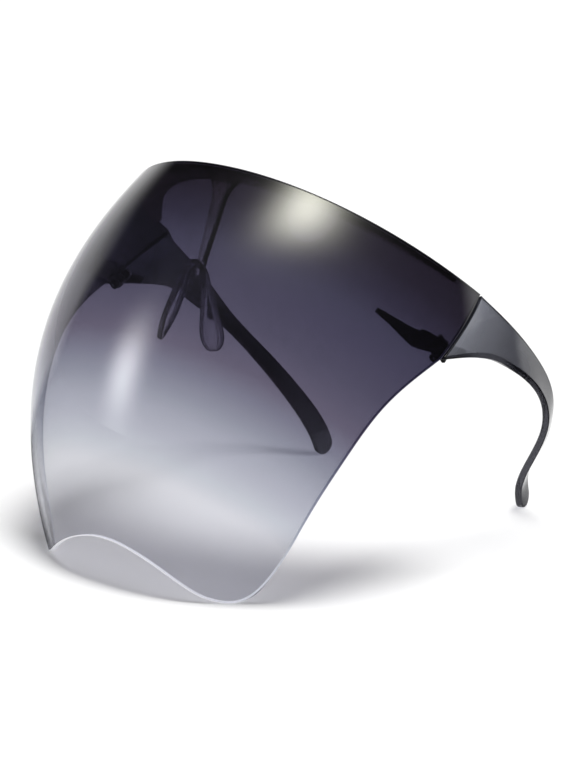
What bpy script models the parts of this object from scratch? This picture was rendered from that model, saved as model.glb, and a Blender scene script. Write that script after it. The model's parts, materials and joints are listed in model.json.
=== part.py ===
"""Shield sunglasses: one large curved lens with a brow frame, nose pad and two folding temples.

The pieces are modelled in the worn position, in metres: +X to one side, -Y forward, +Z up,
with the most forward point of the lens at the origin. An empty then tips the whole
assembly, so that it stands on the two lobes of the lens and the two temple tips.
Pieces of the right side, at +X, are built first and the left side is their mirror image.
"""
import math

import bmesh
import bpy
import numpy as np
from mathutils import Matrix, Vector

MM = 0.001

# Lens, driving sizes
LENS_HALF_WIDTH = 78.0 * MM
LENS_DEPTH = 74.8 * MM
LENS_SPAN = 83.2 * MM
LENS_WALL = 2.0 * MM
LENS_RIM_HEIGHT = 32.7 * MM
LENS_RIM_RISE = 5.15 * MM
LENS_JOINT_FOOT = 6.5 * MM
LENS_LEAN = 23.0 * MM
LENS_CURL = 8.7 * MM

# How width and depth change with height: a linear and a square term in the height over LENS_SPAN
WIDTH_CHANGE_SHARES = (-0.019, -0.365)
DEPTH_CHANGE_SHARES = (0.17, -0.259)
RIM_RISE_SHARES = (0.376, 0.624)
ROUNDNESS = 0.971

# Where the lens ends at the side, as angles round from the forward direction
JOINT_TOP_ANGLE = math.radians(82.2)
JOINT_FOOT_ANGLE = math.radians(77.9)

# Lower edge of the lens, from the joint round the lobe to the middle
SIDE_EDGE_DEGREES = (70.8, 70.9, 74.4, 77.8)
SIDE_EDGE_SHARES = (-0.25, -0.515, -0.79, -1.052)
FOOT_EDGE_DEGREES = (63.1, 47.4, 31.6, 15.8, 0.0)
FOOT_EDGE_SHARES = (-1.149, -1.163, -1.148, -1.127, -1.115)
LENS_COLUMNS = 44
JOINT_ROWS = 7
SIDE_ROWS = 20

# Fits
SEAT_GAP = 0.3 * MM
JOINT_GAP = 0.7 * MM
OVERRUN = 1.0 * MM

# Brow frame, a curved plate behind the rim of the lens
BROW_REACH = 12.0 * MM
BROW_PLATE = 1.8 * MM
BROW_RISE = 2.0 * MM
BROW_BELOW_RIM = 0.4 * MM
BROW_TAPER_ANGLE = math.radians(82.0)
BROW_END_ANGLE = math.radians(73.0)
BROW_TAPER_POWER = 4.5
BROW_STATIONS = 57

# Nose stem, hanging from the brow plate
STEM_SETBACK = 4.5 * MM
STEM_TILT = math.radians(19.5)
STEM_LENGTH = 31.0 * MM
STEM_WALL = 2.6 * MM
STEM_HEAD_HALF_WIDTH = 10.2 * MM
STEM_HEAD_DROP = 1.2 * MM
STEM_FILLET = 9.6 * MM
STEM_TOP_HALF_WIDTH = 2.4 * MM
STEM_END_HALF_WIDTH = 1.3 * MM
TONGUE_LENGTH = 4.4 * MM
TONGUE_WALL = 1.3 * MM
FILLET_POINTS = 7

# Nose pad, one soft saddle with two leaf-shaped legs
PAD_WALL = 2.0 * MM
PAD_ARCH_HALF_SPAN = 6.3 * MM
PAD_ARCH_DROP = 3.5 * MM
PAD_ARCH_SETBACK = 2.9 * MM
PAD_DROP = 23.8 * MM
PAD_HALF_SPREAD = 12.7 * MM
PAD_SETBACK = 14.6 * MM
PAD_ARCH_HALF_WIDTH = 1.7 * MM
PAD_LEAF_HALF_WIDTH = 5.7 * MM
PAD_SPLAY = math.radians(34.0)
PAD_STATIONS = 41
PAD_ARCH_SHARE = 0.22
PAD_END_SHARE = 0.86

# Temples: reach runs backwards, wrap inwards and climb upwards from the middle of the joint
TEMPLE_REACH = 122.2 * MM
TEMPLE_WRAP = 26.0 * MM
TEMPLE_CLIMB = 11.9 * MM
TEMPLE_SLENDER = 6.0 * MM
TEMPLE_TIP = 8.0 * MM
TEMPLE_WALL = 2.4 * MM
TEMPLE_EDGE_ROUND = 0.5 * MM
STATION_SHARES = (0.0, 0.054, 0.115, 0.253, 0.392, 0.530, 0.668, 0.806, 0.918, 1.0)
WRAP_SHARES = (0.0, 0.0, 0.02, 0.088, 0.108, 0.014, -0.225, -0.607, -0.945, -1.0)
CLIMB_SHARES = (0.0, 0.298, 0.556, 0.877, 0.997, 0.946, 0.751, 0.294, -0.26, -0.645)
FRONT_SHARES = (1.0, 0.664, 0.434, 0.231, 0.123, 0.0, 0.0, 0.0, 0.0, 0.0)
TAIL_SHARES = (0.0, 0.0, 0.0, 0.0, 0.0, 0.0, 0.0, 0.6, 1.0, 1.0)
LEAN_SHARES = (-0.09, -0.05, -0.01, -0.19, -0.33, -0.1, -0.14, 0.1, -0.1, -0.23)
UPRIGHT_SHARE = 0.11
TEMPLE_COLUMNS = 34
TIP_COLUMNS = 7
TEMPLE_ROWS = 4
TIP_END_ANGLE = math.radians(78.0)

# Hinges: three knuckles on a screw, parallel to the joint line
KNUCKLE_RADIUS = 1.8 * MM
HINGE_HEIGHT = 9.0 * MM
HINGE_BELOW_JOINT = 0.8 * MM
WEB_WALL = 1.3 * MM
WEB_REACH = 4.2 * MM
SCREW_RADIUS = 0.6 * MM
SCREW_HEAD_RADIUS = 1.4 * MM
SCREW_HEAD_HEIGHT = 0.7 * MM
ROUND_SIDES = 24

# Hinge plate on the lens: its outline in shares of its length and of its rear height
PLATE_WALL = 1.3 * MM
PLATE_HEIGHT = 13.6 * MM
PLATE_FRONT_ANGLE = math.radians(55.3)
PLATE_REAR_ANGLE = math.radians(77.0)
PLATE_ALONG_SHARES = (0.0, 0.26, 0.42, 0.54, 0.62, 0.64, 0.74, 0.91, 1.0)
PLATE_FOOT_SHARES = (0.47, 0.40, 0.34, 0.31, 0.30, 0.30, 0.36, 0.51, 0.54)
PLATE_HEAD_SHARES = (0.58, 0.625, 0.66, 0.71, 0.75, 0.83, 0.90, 0.96, 1.0)

# Hinge leaf on the temple
LEAF_WALL = 1.2 * MM
LEAF_LENGTH = 7.0 * MM
LEAF_HEIGHT = 6.0 * MM
LEAF_INSET = 0.5 * MM
LEAF_END_SHARE = 0.45

# Halving steps of the search for the standing pose
TILT_STEPS = 24

KNUCKLE_BORE_RADIUS = SCREW_RADIUS + SEAT_GAP
HINGE_DEPTH = TEMPLE_WALL + SEAT_GAP + KNUCKLE_RADIUS
KNUCKLE_HEIGHT = (HINGE_HEIGHT - 2 * SEAT_GAP) / 3


def clear_scene():
    """Remove whatever the open file holds."""
    for thing in list(bpy.data.objects):
        bpy.data.objects.remove(thing, do_unlink=True)
    for group in list(bpy.data.collections):
        bpy.data.collections.remove(group)


def new_collection(name):
    """A collection linked to the scene."""
    group = bpy.data.collections.new(name)
    bpy.context.scene.collection.children.link(group)
    return group


def finish(name, color, roughness, alpha=1.0):
    """Principled material of one sub-part."""
    material = bpy.data.materials.new(name)
    material.use_nodes = True
    shader = material.node_tree.nodes["Principled BSDF"]
    shader.inputs["Base Color"].default_value = (*color, 1.0)
    shader.inputs["Roughness"].default_value = roughness
    shader.inputs["Alpha"].default_value = alpha
    return material


def spline(knots, values, places):
    """Natural cubic spline through values at the knots, read at the places."""
    knots = np.asarray(knots, float)
    values = np.asarray(values, float).reshape(len(knots), -1)
    step = np.diff(knots)
    slope = np.diff(values, axis=0) / step[:, None]
    system = np.eye(len(knots))
    right = np.zeros_like(values)
    for row in range(1, len(knots) - 1):
        system[row, row - 1:row + 2] = step[row - 1], 2 * (step[row - 1] + step[row]), step[row]
        right[row] = 6 * (slope[row] - slope[row - 1])
    bend = np.linalg.solve(system, right)
    places = np.atleast_1d(np.asarray(places, float))
    cell = np.clip(np.searchsorted(knots, places) - 1, 0, len(step) - 1)
    width = step[cell][:, None]
    before = (knots[cell + 1] - places)[:, None]
    after = (places - knots[cell])[:, None]
    cubic = (bend[cell] * before ** 3 + bend[cell + 1] * after ** 3) / (6 * width)
    start = (values[cell] / width - bend[cell] * width / 6) * before
    end = (values[cell + 1] / width - bend[cell + 1] * width / 6) * after
    return (cubic + start + end).squeeze()


def unit(vectors):
    """Vectors of length one."""
    vectors = np.asarray(vectors, float)
    return vectors / np.linalg.norm(vectors, axis=-1, keepdims=True)


def lens_point(angle, height):
    """Point on the outer face of the lens: a rounded arc whose width, depth and lean follow height."""
    angle, height = np.broadcast_arrays(np.asarray(angle, float), np.asarray(height, float))
    level = height / LENS_SPAN
    half_width = LENS_HALF_WIDTH * (1 + WIDTH_CHANGE_SHARES[0] * level + WIDTH_CHANGE_SHARES[1] * level ** 2)
    depth = LENS_DEPTH * (1 + DEPTH_CHANGE_SHARES[0] * level + DEPTH_CHANGE_SHARES[1] * level ** 2)
    lean = LENS_LEAN * level ** 2 - LENS_CURL * level ** 3
    side = np.sign(np.sin(angle)) * np.abs(np.sin(angle)) ** ROUNDNESS
    front = np.abs(np.cos(angle)) ** ROUNDNESS
    return np.stack([half_width * side, lean + depth * (1 - front), height], axis=-1)


def lens_inward(angle, height):
    """Unit vector square to the lens, pointing to the wearer's side."""
    small = 0.001
    across = lens_point(angle + small, height) - lens_point(angle - small, height)
    rise = LENS_SPAN * small
    upward = lens_point(angle, height + rise) - lens_point(angle, height - rise)
    return unit(np.cross(upward, across))


def lens_inside(angle, height, depth):
    """Point at a depth behind the outer face of the lens."""
    depth = np.asarray(depth, float)
    return lens_point(angle, height) + lens_inward(angle, height) * depth[..., None]


def rim_height(angle):
    """Height of the upper rim, which rises towards the temples."""
    turn = np.asarray(angle, float) / JOINT_TOP_ANGLE
    return LENS_RIM_HEIGHT + LENS_RIM_RISE * (RIM_RISE_SHARES[0] * turn ** 2 + RIM_RISE_SHARES[1] * turn ** 4)


def joint_line(share):
    """Angle and height on the side edge where a temple meets the lens, 0 at its foot, 1 at the rim."""
    share = np.asarray(share, float)
    angle = JOINT_FOOT_ANGLE + (JOINT_TOP_ANGLE - JOINT_FOOT_ANGLE) * share
    height = LENS_JOINT_FOOT + (rim_height(JOINT_TOP_ANGLE) - LENS_JOINT_FOOT) * share
    return angle, height


def lower_edge():
    """Side edge below the joint and foot edge of the lens, as rows of angle and height."""
    degrees = SIDE_EDGE_DEGREES + FOOT_EDGE_DEGREES
    shares = SIDE_EDGE_SHARES + FOOT_EDGE_SHARES
    half = [(JOINT_FOOT_ANGLE, LENS_JOINT_FOOT)]
    half += [(math.radians(turn), share * LENS_SPAN) for turn, share in zip(degrees, shares)]
    other = [(-turn, height) for turn, height in reversed(half[:-1])]
    points = np.array(half + other)
    run = np.hypot(np.diff(points[:, 0]) * LENS_DEPTH, np.diff(points[:, 1]))
    knots = np.concatenate([[0.0], np.cumsum(run)])
    corner = knots[len(SIDE_EDGE_DEGREES)]
    side = spline(knots, points, np.linspace(0.0, corner, SIDE_ROWS + 1))
    foot = spline(knots, points, np.linspace(corner, knots[-1] - corner, LENS_COLUMNS + 1))
    return side, foot


def lens_grid():
    """Outer face of the lens as a patch blended between its rim, two side edges and foot."""
    below, foot = lower_edge()
    joint = np.stack(joint_line(np.linspace(1.0, 0.0, JOINT_ROWS + 1)), axis=-1)
    right = np.concatenate([joint, below[1:]])
    left = right * (-1, 1)
    foot = foot[::-1]
    turn = np.linspace(-JOINT_TOP_ANGLE, JOINT_TOP_ANGLE, LENS_COLUMNS + 1)
    rim = np.stack([turn, rim_height(turn)], axis=-1)
    run = np.hypot(*(np.diff(right, axis=0) * (LENS_DEPTH, 1)).T)
    down = np.concatenate([[0.0], np.cumsum(run)])[:, None, None] / run.sum()
    across = np.linspace(0.0, 1.0, LENS_COLUMNS + 1)[None, :, None]
    ruled = (1 - down) * rim[None] + down * foot[None]
    sides = (1 - across) * left[:, None] + across * right[:, None]
    ends = (1 - across) * ruled[:, :1] + across * ruled[:, -1:]
    patch = ruled + sides - ends
    return lens_point(patch[..., 0], patch[..., 1])


def sheet_mesh(name, points, outward):
    """Open quad mesh through a grid of points, with its faces turned outward at the middle."""
    rows, columns = points.shape[:2]
    corner = (np.arange(rows - 1)[:, None] * columns + np.arange(columns - 1)).reshape(-1)
    faces = np.stack([corner, corner + 1, corner + columns + 1, corner + columns], axis=-1)
    mesh = bpy.data.meshes.new(name)
    mesh.from_pydata(points.reshape(-1, 3).tolist(), [], faces.tolist())
    mesh.update()
    middle = mesh.polygons[len(mesh.polygons) // 2]
    if middle.normal.dot(Vector(outward)) < 0:
        mesh.flip_normals()
    mesh.shade_smooth()
    return mesh


def tube_mesh(name, rings):
    """Closed mesh lofted through rings of the same number of points, with flat ends."""
    count, sides = rings.shape[:2]
    start = np.arange(count - 1)[:, None] * sides
    here = np.arange(sides)[None, :]
    there = (np.arange(sides)[None, :] + 1) % sides
    walls = np.stack([start + here, start + there, start + sides + there, start + sides + here], axis=-1)
    ends = [list(range(sides))[::-1], list(range((count - 1) * sides, count * sides))]
    mesh = bpy.data.meshes.new(name)
    mesh.from_pydata(rings.reshape(-1, 3).tolist(), [], walls.reshape(-1, 4).tolist() + ends)
    shape = bmesh.new()
    shape.from_mesh(mesh)
    bmesh.ops.recalc_face_normals(shape, faces=shape.faces)
    shape.to_mesh(mesh)
    shape.free()
    return mesh


def add_object(mesh, group, parent, material=None):
    """Object of a mesh in a collection, carried by its parent."""
    thing = bpy.data.objects.new(mesh.name, mesh)
    group.objects.link(thing)
    thing.parent = parent
    if material is not None:
        mesh.materials.append(material)
    return thing


def add_wall(thing, thickness):
    """Turn a sheet into a wall that grows inwards."""
    wall = thing.modifiers.new("Wall", "SOLIDIFY")
    wall.thickness = thickness
    wall.offset = -1
    wall.use_even_offset = True


def add_rounding(thing, width, segments):
    """Round the sharp edges of a piece."""
    rounding = thing.modifiers.new("Rounding", "BEVEL")
    rounding.width = width
    rounding.segments = segments
    rounding.limit_method = "ANGLE"
    rounding.angle_limit = math.radians(60)
    rounding.harden_normals = False


def add_boolean(thing, other, operation):
    """Join or cut with another object."""
    step = thing.modifiers.new(f"{operation.title()} {other.name}", "BOOLEAN")
    step.operation = operation
    step.object = other
    step.solver = "EXACT"


def hide_shape(thing):
    """Mark an object as a cutter or as a shape that is joined into another."""
    thing.hide_render = True
    thing.display_type = "WIRE"


def box_mesh(name, low, high):
    """Box between two corners."""
    low, high = Vector(low), Vector(high)
    mesh = bpy.data.meshes.new(name)
    shape = bmesh.new()
    bmesh.ops.create_cube(shape, size=1.0)
    size = Matrix.Diagonal((*(high - low), 1.0))
    shape.transform(Matrix.Translation((low + high) / 2) @ size)
    shape.to_mesh(mesh)
    shape.free()
    return mesh


def rod_mesh(name, radius, low, high):
    """Cylinder along Z between two levels."""
    mesh = bpy.data.meshes.new(name)
    shape = bmesh.new()
    bmesh.ops.create_cone(
        shape, cap_ends=True, segments=ROUND_SIDES, radius1=radius, radius2=radius, depth=high - low)
    shape.transform(Matrix.Translation((0, 0, (low + high) / 2)))
    shape.to_mesh(mesh)
    shape.free()
    mesh.shade_smooth()
    mesh.set_sharp_from_angle(angle=math.radians(40))
    return mesh


def evaluated_mesh(thing, name):
    """Mesh of an object with its modifiers applied."""
    bpy.context.view_layer.update()
    graph = bpy.context.evaluated_depsgraph_get()
    mesh = bpy.data.meshes.new_from_object(thing.evaluated_get(graph))
    mesh.name = name
    return mesh


def hinge_frame():
    """Frame of the right hinge: X backwards along the temple, Y inwards, Z up the joint line."""
    foot, top = (lens_point(*joint_line(share)) for share in (0.0, 1.0))
    axis = unit(top - foot)
    inward = lens_inward(*joint_line(0.0))
    inward = unit(inward - axis * inward.dot(axis))
    back = np.cross(inward, axis)
    origin = foot + back * JOINT_GAP / 2 + inward * HINGE_DEPTH
    frame = np.eye(4)
    frame[:3, 0], frame[:3, 1], frame[:3, 2], frame[:3, 3] = back, inward, axis, origin
    return Matrix(frame.tolist())


def mirrored_frame(frame):
    """The same hinge frame on the left side, kept right-handed."""
    mirror = Matrix.Diagonal((-1, 1, 1, 1))
    return mirror @ frame @ Matrix.Diagonal((1, -1, 1, 1))


def temple_stations():
    """Stations of the temple's middle line, measured from the middle of the joint."""
    sizes = np.array([TEMPLE_WRAP, TEMPLE_REACH, TEMPLE_CLIMB])
    return np.stack([WRAP_SHARES, STATION_SHARES, CLIMB_SHARES], axis=-1) * sizes


def temple_point(share, across):
    """Outer face of the right temple: share runs back along it, across runs 0 to 1 up its height."""
    share, across = np.broadcast_arrays(np.asarray(share, float), np.asarray(across, float))
    flat = share.reshape(-1)
    small = 0.001
    foot, top = (lens_point(*joint_line(end)) for end in (0.0, 1.0))
    frame = np.array(hinge_frame())
    start = (foot + top) / 2 + frame[:3, 0] * JOINT_GAP
    stations = temple_stations()
    spine = spline(STATION_SHARES, stations, flat).reshape(-1, 3)
    ahead = spline(STATION_SHARES, stations, flat + small).reshape(-1, 3)
    behind = spline(STATION_SHARES, stations, flat - small).reshape(-1, 3)
    along = unit(ahead - behind)
    joint_height = np.linalg.norm(top - foot)
    front = spline(STATION_SHARES, FRONT_SHARES, flat)
    tail = spline(STATION_SHARES, TAIL_SHARES, flat)
    height = TEMPLE_SLENDER + front * (joint_height - TEMPLE_SLENDER) + tail * (TEMPLE_TIP - TEMPLE_SLENDER)
    tip = np.clip((flat - tip_start()) / (1.0 - tip_start()), 0.0, 1.0)
    height = height * np.sqrt(1.0 - tip ** 2)
    lean = spline(STATION_SHARES, LEAN_SHARES, flat)
    upright = np.stack([lean, np.zeros_like(lean), np.ones_like(lean)], axis=-1)
    upright = unit(upright - along * (upright * along).sum(-1, keepdims=True))
    blend = np.clip(flat / UPRIGHT_SHARE, 0.0, 1.0)
    blend = (blend * blend * (3 - 2 * blend))[:, None]
    upward = unit((1 - blend) * frame[:3, 2] + blend * upright)
    level = across.reshape(-1)
    points = start + spine + upward * (height * (level - 0.5))[:, None]
    angle, rise = joint_line(level)
    bulge = lens_point(angle, rise) - (foot + (top - foot) * level[:, None])
    points = points + bulge * (1 - blend) ** 2
    return points.reshape(*share.shape, 3)


def temple_inside(share, across, depth):
    """Point at a depth behind the outer face of the right temple."""
    small = 0.001
    along = temple_point(share + small, across) - temple_point(share - small, across)
    upward = temple_point(share, across + small) - temple_point(share, across - small)
    return temple_point(share, across) + unit(np.cross(along, upward)) * depth


def build_lens(group, parent):
    """The shield itself: one doubly curved wall."""
    mesh = sheet_mesh("lens", lens_grid(), (0, -1, 0))
    lens = add_object(mesh, group, parent, finish("lens_tint", (0.16, 0.15, 0.2), 0.03, 0.6))
    add_wall(lens, LENS_WALL)


def brow_depth(angle):
    """Reach of the brow plate behind the outer face of the lens, less towards its ends."""
    return BROW_REACH * (1 - np.abs(angle / BROW_TAPER_ANGLE) ** BROW_TAPER_POWER)


def build_brow(group, shapes, parent):
    """Brow plate with the nose stem in one moulding."""
    angle = np.linspace(-BROW_END_ANGLE, BROW_END_ANGLE, BROW_STATIONS)
    top = rim_height(angle) - BROW_BELOW_RIM
    front_depth = LENS_WALL + SEAT_GAP
    front_top = lens_inside(angle, top, np.full_like(angle, front_depth))
    front_foot = lens_inside(angle, top - BROW_PLATE, np.full_like(angle, front_depth))
    inward = lens_inward(angle, top)
    inward[:, 2] = 0
    depth = brow_depth(angle)
    rear_top = lens_point(angle, top) + unit(inward) * depth[:, None]
    rear_top[:, 2] += BROW_RISE * (depth - front_depth) / (BROW_REACH - front_depth)
    rear_foot = rear_top - np.array([0, 0, BROW_PLATE])
    rings = np.stack([front_top, rear_top, rear_foot, front_foot], axis=1)
    mesh = tube_mesh("brow_frame", rings)
    brow = add_object(mesh, group, parent, finish("brow_plastic", (0.2, 0.19, 0.22), 0.08, 0.7))
    stem = add_object(stem_mesh(), shapes, parent)
    tongue = add_object(tongue_mesh(), shapes, parent)
    for piece in (stem, tongue):
        hide_shape(piece)
        add_boolean(brow, piece, "UNION")


def stem_outline():
    """Half outline of the stem in its own plane, as rows of sideways and down from its top."""
    turn = np.linspace(0.0, math.pi / 2, FILLET_POINTS)
    wide = STEM_HEAD_HALF_WIDTH - STEM_TOP_HALF_WIDTH
    sideways = STEM_TOP_HALF_WIDTH + wide * (1 - np.sin(turn))
    down = STEM_HEAD_DROP + STEM_FILLET * (1 - np.cos(turn))
    head = np.stack([sideways, down], axis=-1)
    above = [(STEM_HEAD_HALF_WIDTH, -BROW_PLATE / 2)]
    foot = [(STEM_END_HALF_WIDTH, STEM_LENGTH)]
    return np.concatenate([above, head, foot])


def stem_frame():
    """Frame of the stem: X sideways, Y down along it, Z backwards out of its rear face."""
    down = np.array([0, math.sin(STEM_TILT), -math.cos(STEM_TILT)])
    side = np.array([1.0, 0, 0])
    frame = np.eye(4)
    frame[:3, 0], frame[:3, 1], frame[:3, 2] = side, down, np.cross(side, down)
    level = float(rim_height(0.0)) - BROW_BELOW_RIM - BROW_PLATE / 2
    rise = BROW_RISE * (STEM_SETBACK - LENS_WALL - SEAT_GAP) / (BROW_REACH - LENS_WALL - SEAT_GAP)
    frame[:3, 3] = lens_point(0.0, level) + np.array([0, STEM_SETBACK, rise])
    return Matrix(frame.tolist())


def stem_mesh():
    """Flat outline with filleted shoulders, given the stem's thickness."""
    half = stem_outline()
    outline = np.concatenate([half, (half * (-1, 1))[::-1]])
    front = np.column_stack([outline, np.full(len(outline), STEM_WALL / 2)])
    rings = np.stack([front, front * (1, 1, -1)])
    mesh = tube_mesh("nose_stem_shape", rings)
    mesh.transform(stem_frame())
    return mesh


def tongue_mesh():
    """Thin tongue that carries the pad, at the rear of the stem's end."""
    low = (-STEM_END_HALF_WIDTH, STEM_LENGTH - OVERRUN, STEM_WALL / 2 - TONGUE_WALL)
    high = (STEM_END_HALF_WIDTH, STEM_LENGTH + TONGUE_LENGTH, STEM_WALL / 2)
    mesh = box_mesh("stem_tongue_shape", low, high)
    mesh.transform(stem_frame())
    return mesh


def build_nose_pad(group, parent):
    """Soft saddle: a ribbon over the stem's end that widens into two splayed leaves."""
    place = np.linspace(-1.0, 1.0, PAD_STATIONS)
    side, far = np.sign(place), np.abs(place)
    quarter = np.clip(far / PAD_ARCH_SHARE, 0.0, 1.0) * math.pi / 2
    leg = np.clip((far - PAD_ARCH_SHARE) / (1 - PAD_ARCH_SHARE), 0.0, 1.0)
    frame = np.array(stem_frame())
    clear = STEM_WALL / 2 - TONGUE_WALL - SEAT_GAP - PAD_ARCH_HALF_WIDTH
    top = frame[:3, 3] + frame[:3, 1] * (STEM_LENGTH + SEAT_GAP) + frame[:3, 2] * clear
    sideways = PAD_ARCH_HALF_SPAN * np.sin(quarter) + (PAD_HALF_SPREAD - PAD_ARCH_HALF_SPAN) * leg
    drop = PAD_ARCH_DROP * (1 - np.cos(quarter)) + (PAD_DROP - PAD_ARCH_DROP) * leg
    setback = PAD_ARCH_SETBACK * (1 - np.cos(quarter)) + (PAD_SETBACK - PAD_ARCH_SETBACK) * leg
    spine = np.stack([side * sideways, top[1] + setback, top[2] - drop], axis=-1)
    end = np.clip((far - PAD_END_SHARE) / (1 - PAD_END_SHARE), 0.0, 1.0)
    half_width = PAD_ARCH_HALF_WIDTH + (PAD_LEAF_HALF_WIDTH - PAD_ARCH_HALF_WIDTH) * leg
    half_width = half_width * np.sqrt(1 - (end * math.sin(TIP_END_ANGLE)) ** 2)
    splay = PAD_SPLAY * leg
    wide = np.stack([side * np.sin(splay), np.cos(splay), np.zeros_like(splay)], axis=-1)
    along = unit(np.gradient(spine, axis=0))
    wide = unit(wide - along * (wide * along).sum(-1, keepdims=True))
    level = np.linspace(-1.0, 1.0, 5)
    points = spine[:, None] + wide[:, None] * (half_width[:, None] * level)[..., None]
    mesh = sheet_mesh("nose_pad", points, (0, 0, 1))
    pad = add_object(mesh, group, parent, finish("pad_rubber", (0.8, 0.8, 0.84), 0.2, 0.5))
    add_wall(pad, PAD_WALL)


def plate_mesh():
    """Blade of the hinge plate as a sheet on the inner face of the lens."""
    share = np.unique(np.concatenate([np.linspace(0.0, 1.0, 19), PLATE_ALONG_SHARES]))
    angle = PLATE_FRONT_ANGLE + (PLATE_REAR_ANGLE - PLATE_FRONT_ANGLE) * share
    foot = PLATE_HEIGHT * np.interp(share, PLATE_ALONG_SHARES, PLATE_FOOT_SHARES)
    head = PLATE_HEIGHT * np.interp(share, PLATE_ALONG_SHARES, PLATE_HEAD_SHARES)
    level = np.linspace(0.0, 1.0, 5)
    height = foot[:, None] + (head - foot)[:, None] * level
    angle = np.repeat(angle[:, None], len(level), axis=1)
    depth = np.full_like(angle, LENS_WALL + SEAT_GAP)
    return sheet_mesh("hinge_plate_right", lens_inside(angle, height, depth), (1, 0, 0))


def leaf_mesh():
    """Hinge leaf as a sheet on the inner face of the temple, along its lower edge."""
    start = KNUCKLE_RADIUS + JOINT_GAP
    place = np.repeat(np.linspace(0.0, 1.0, 7)[:, None], 5, axis=1)
    share = (start + LEAF_LENGTH * place) / TEMPLE_REACH
    foot = temple_point(share, np.zeros_like(share))
    head = temple_point(share, np.ones_like(share))
    height = np.linalg.norm(head - foot, axis=-1)
    wide = LEAF_HEIGHT * (1 - (1 - LEAF_END_SHARE) * place)
    across = (LEAF_INSET + wide * np.linspace(0.0, 1.0, 5)) / height
    points = temple_inside(share, across, -(TEMPLE_WALL + SEAT_GAP))
    return sheet_mesh("hinge_leaf_right", points, (1, 0, 0))


def knuckle_levels():
    """Lowest and highest level of the three knuckles, from the foot up."""
    foot = -HINGE_BELOW_JOINT
    step = KNUCKLE_HEIGHT + SEAT_GAP
    return [(foot + step * index, foot + step * index + KNUCKLE_HEIGHT) for index in range(3)]


def web_mesh(name, level, towards, lift):
    """Web from a knuckle's axis to its hinge piece; a lug on its top, just past the knuckle, may be lifted."""
    outer = -KNUCKLE_RADIUS + SEAT_GAP / 2
    outline = [(0.0, level[0]), (WEB_REACH, level[0]), (WEB_REACH, level[1])]
    if lift > 0:
        near = KNUCKLE_RADIUS + SEAT_GAP
        far = near + WEB_WALL
        outline += [(far, level[1]), (far, level[1] + lift), (near, level[1] + lift), (near, level[1])]
    outline.append((0.0, level[1]))
    rings = [
        [(towards * reach, depth, height) for reach, height in outline] for depth in (outer, outer + WEB_WALL)]
    return tube_mesh(name, np.array(rings))


def add_knuckle(thing, shapes, parent, level, towards, lift=0.0):
    """Join a knuckle and its web to a hinge piece; towards is 1 for a web that runs backwards."""
    name = f"{thing.name}_knuckle_{round(level[0] / MM)}"
    web = add_object(web_mesh(f"{name}_web", level, towards, lift), shapes, parent)
    barrel = add_object(rod_mesh(f"{name}_barrel", KNUCKLE_RADIUS, *level), shapes, parent)
    for piece in (web, barrel):
        hide_shape(piece)
        add_boolean(thing, piece, "UNION")


def add_bore(thing, shapes, parent):
    """Cut the screw's hole through the knuckles of a hinge piece."""
    bore = rod_mesh(
        f"{thing.name}_bore", KNUCKLE_BORE_RADIUS,
        -HINGE_BELOW_JOINT - OVERRUN, HINGE_HEIGHT - HINGE_BELOW_JOINT + OVERRUN)
    cutter = add_object(bore, shapes, parent)
    hide_shape(cutter)
    add_boolean(thing, cutter, "DIFFERENCE")


def build_side(group, shapes, assembly, hinge, frame):
    """Temple, hinge plate, hinge leaf and screw of the right side, each in the frame of the hinge."""
    to_hinge = frame.inverted()
    levels = knuckle_levels()

    mesh = plate_mesh()
    mesh.transform(to_hinge)
    plate = add_object(mesh, group, assembly, finish("hinge_black", (0.02, 0.02, 0.022), 0.35))
    plate.matrix_local = frame
    add_wall(plate, PLATE_WALL)
    for level in (levels[0], levels[2]):
        add_knuckle(plate, shapes, hinge, level, -1)
    add_bore(plate, shapes, hinge)

    mesh = leaf_mesh()
    mesh.transform(to_hinge)
    leaf = add_object(mesh, group, hinge, finish("leaf_black", (0.025, 0.025, 0.028), 0.35))
    add_wall(leaf, LEAF_WALL)
    add_knuckle(leaf, shapes, hinge, levels[1], 1, KNUCKLE_HEIGHT / 2)
    add_bore(leaf, shapes, hinge)

    head_foot = levels[2][1] + SEAT_GAP
    shaft = rod_mesh("hinge_screw_right", SCREW_RADIUS, levels[0][0], head_foot + SCREW_HEAD_HEIGHT / 2)
    screw = add_object(shaft, group, assembly, finish("screw_steel", (0.6, 0.6, 0.62), 0.3))
    screw.matrix_local = frame
    head = rod_mesh("screw_head_shape", SCREW_HEAD_RADIUS, head_foot, head_foot + SCREW_HEAD_HEIGHT)
    head = add_object(head, shapes, hinge)
    hide_shape(head)
    add_boolean(screw, head, "UNION")

    body = np.linspace(0.0, tip_start(), TEMPLE_COLUMNS)
    turn = np.linspace(0.0, TIP_END_ANGLE, TIP_COLUMNS + 1)[1:]
    share = np.concatenate([body, tip_start() + (1 - tip_start()) * np.sin(turn)])
    across = np.linspace(0.0, 1.0, TEMPLE_ROWS + 1)
    mesh = sheet_mesh("temple_right", temple_point(share[:, None], across[None, :]), (1, 0, 0))
    mesh.transform(to_hinge)
    temple = add_object(mesh, group, hinge, finish("temple_smoke", (0.1, 0.1, 0.12), 0.1, 0.9))
    add_wall(temple, TEMPLE_WALL)
    add_rounding(temple, TEMPLE_EDGE_ROUND, 2)


def tip_start():
    """Share of the temple's reach where its rounded tip begins."""
    last = np.diff(temple_stations()[-2:], axis=0)
    return 1.0 - TEMPLE_TIP / 2 / np.linalg.norm(last) * (STATION_SHARES[-1] - STATION_SHARES[-2])


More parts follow.
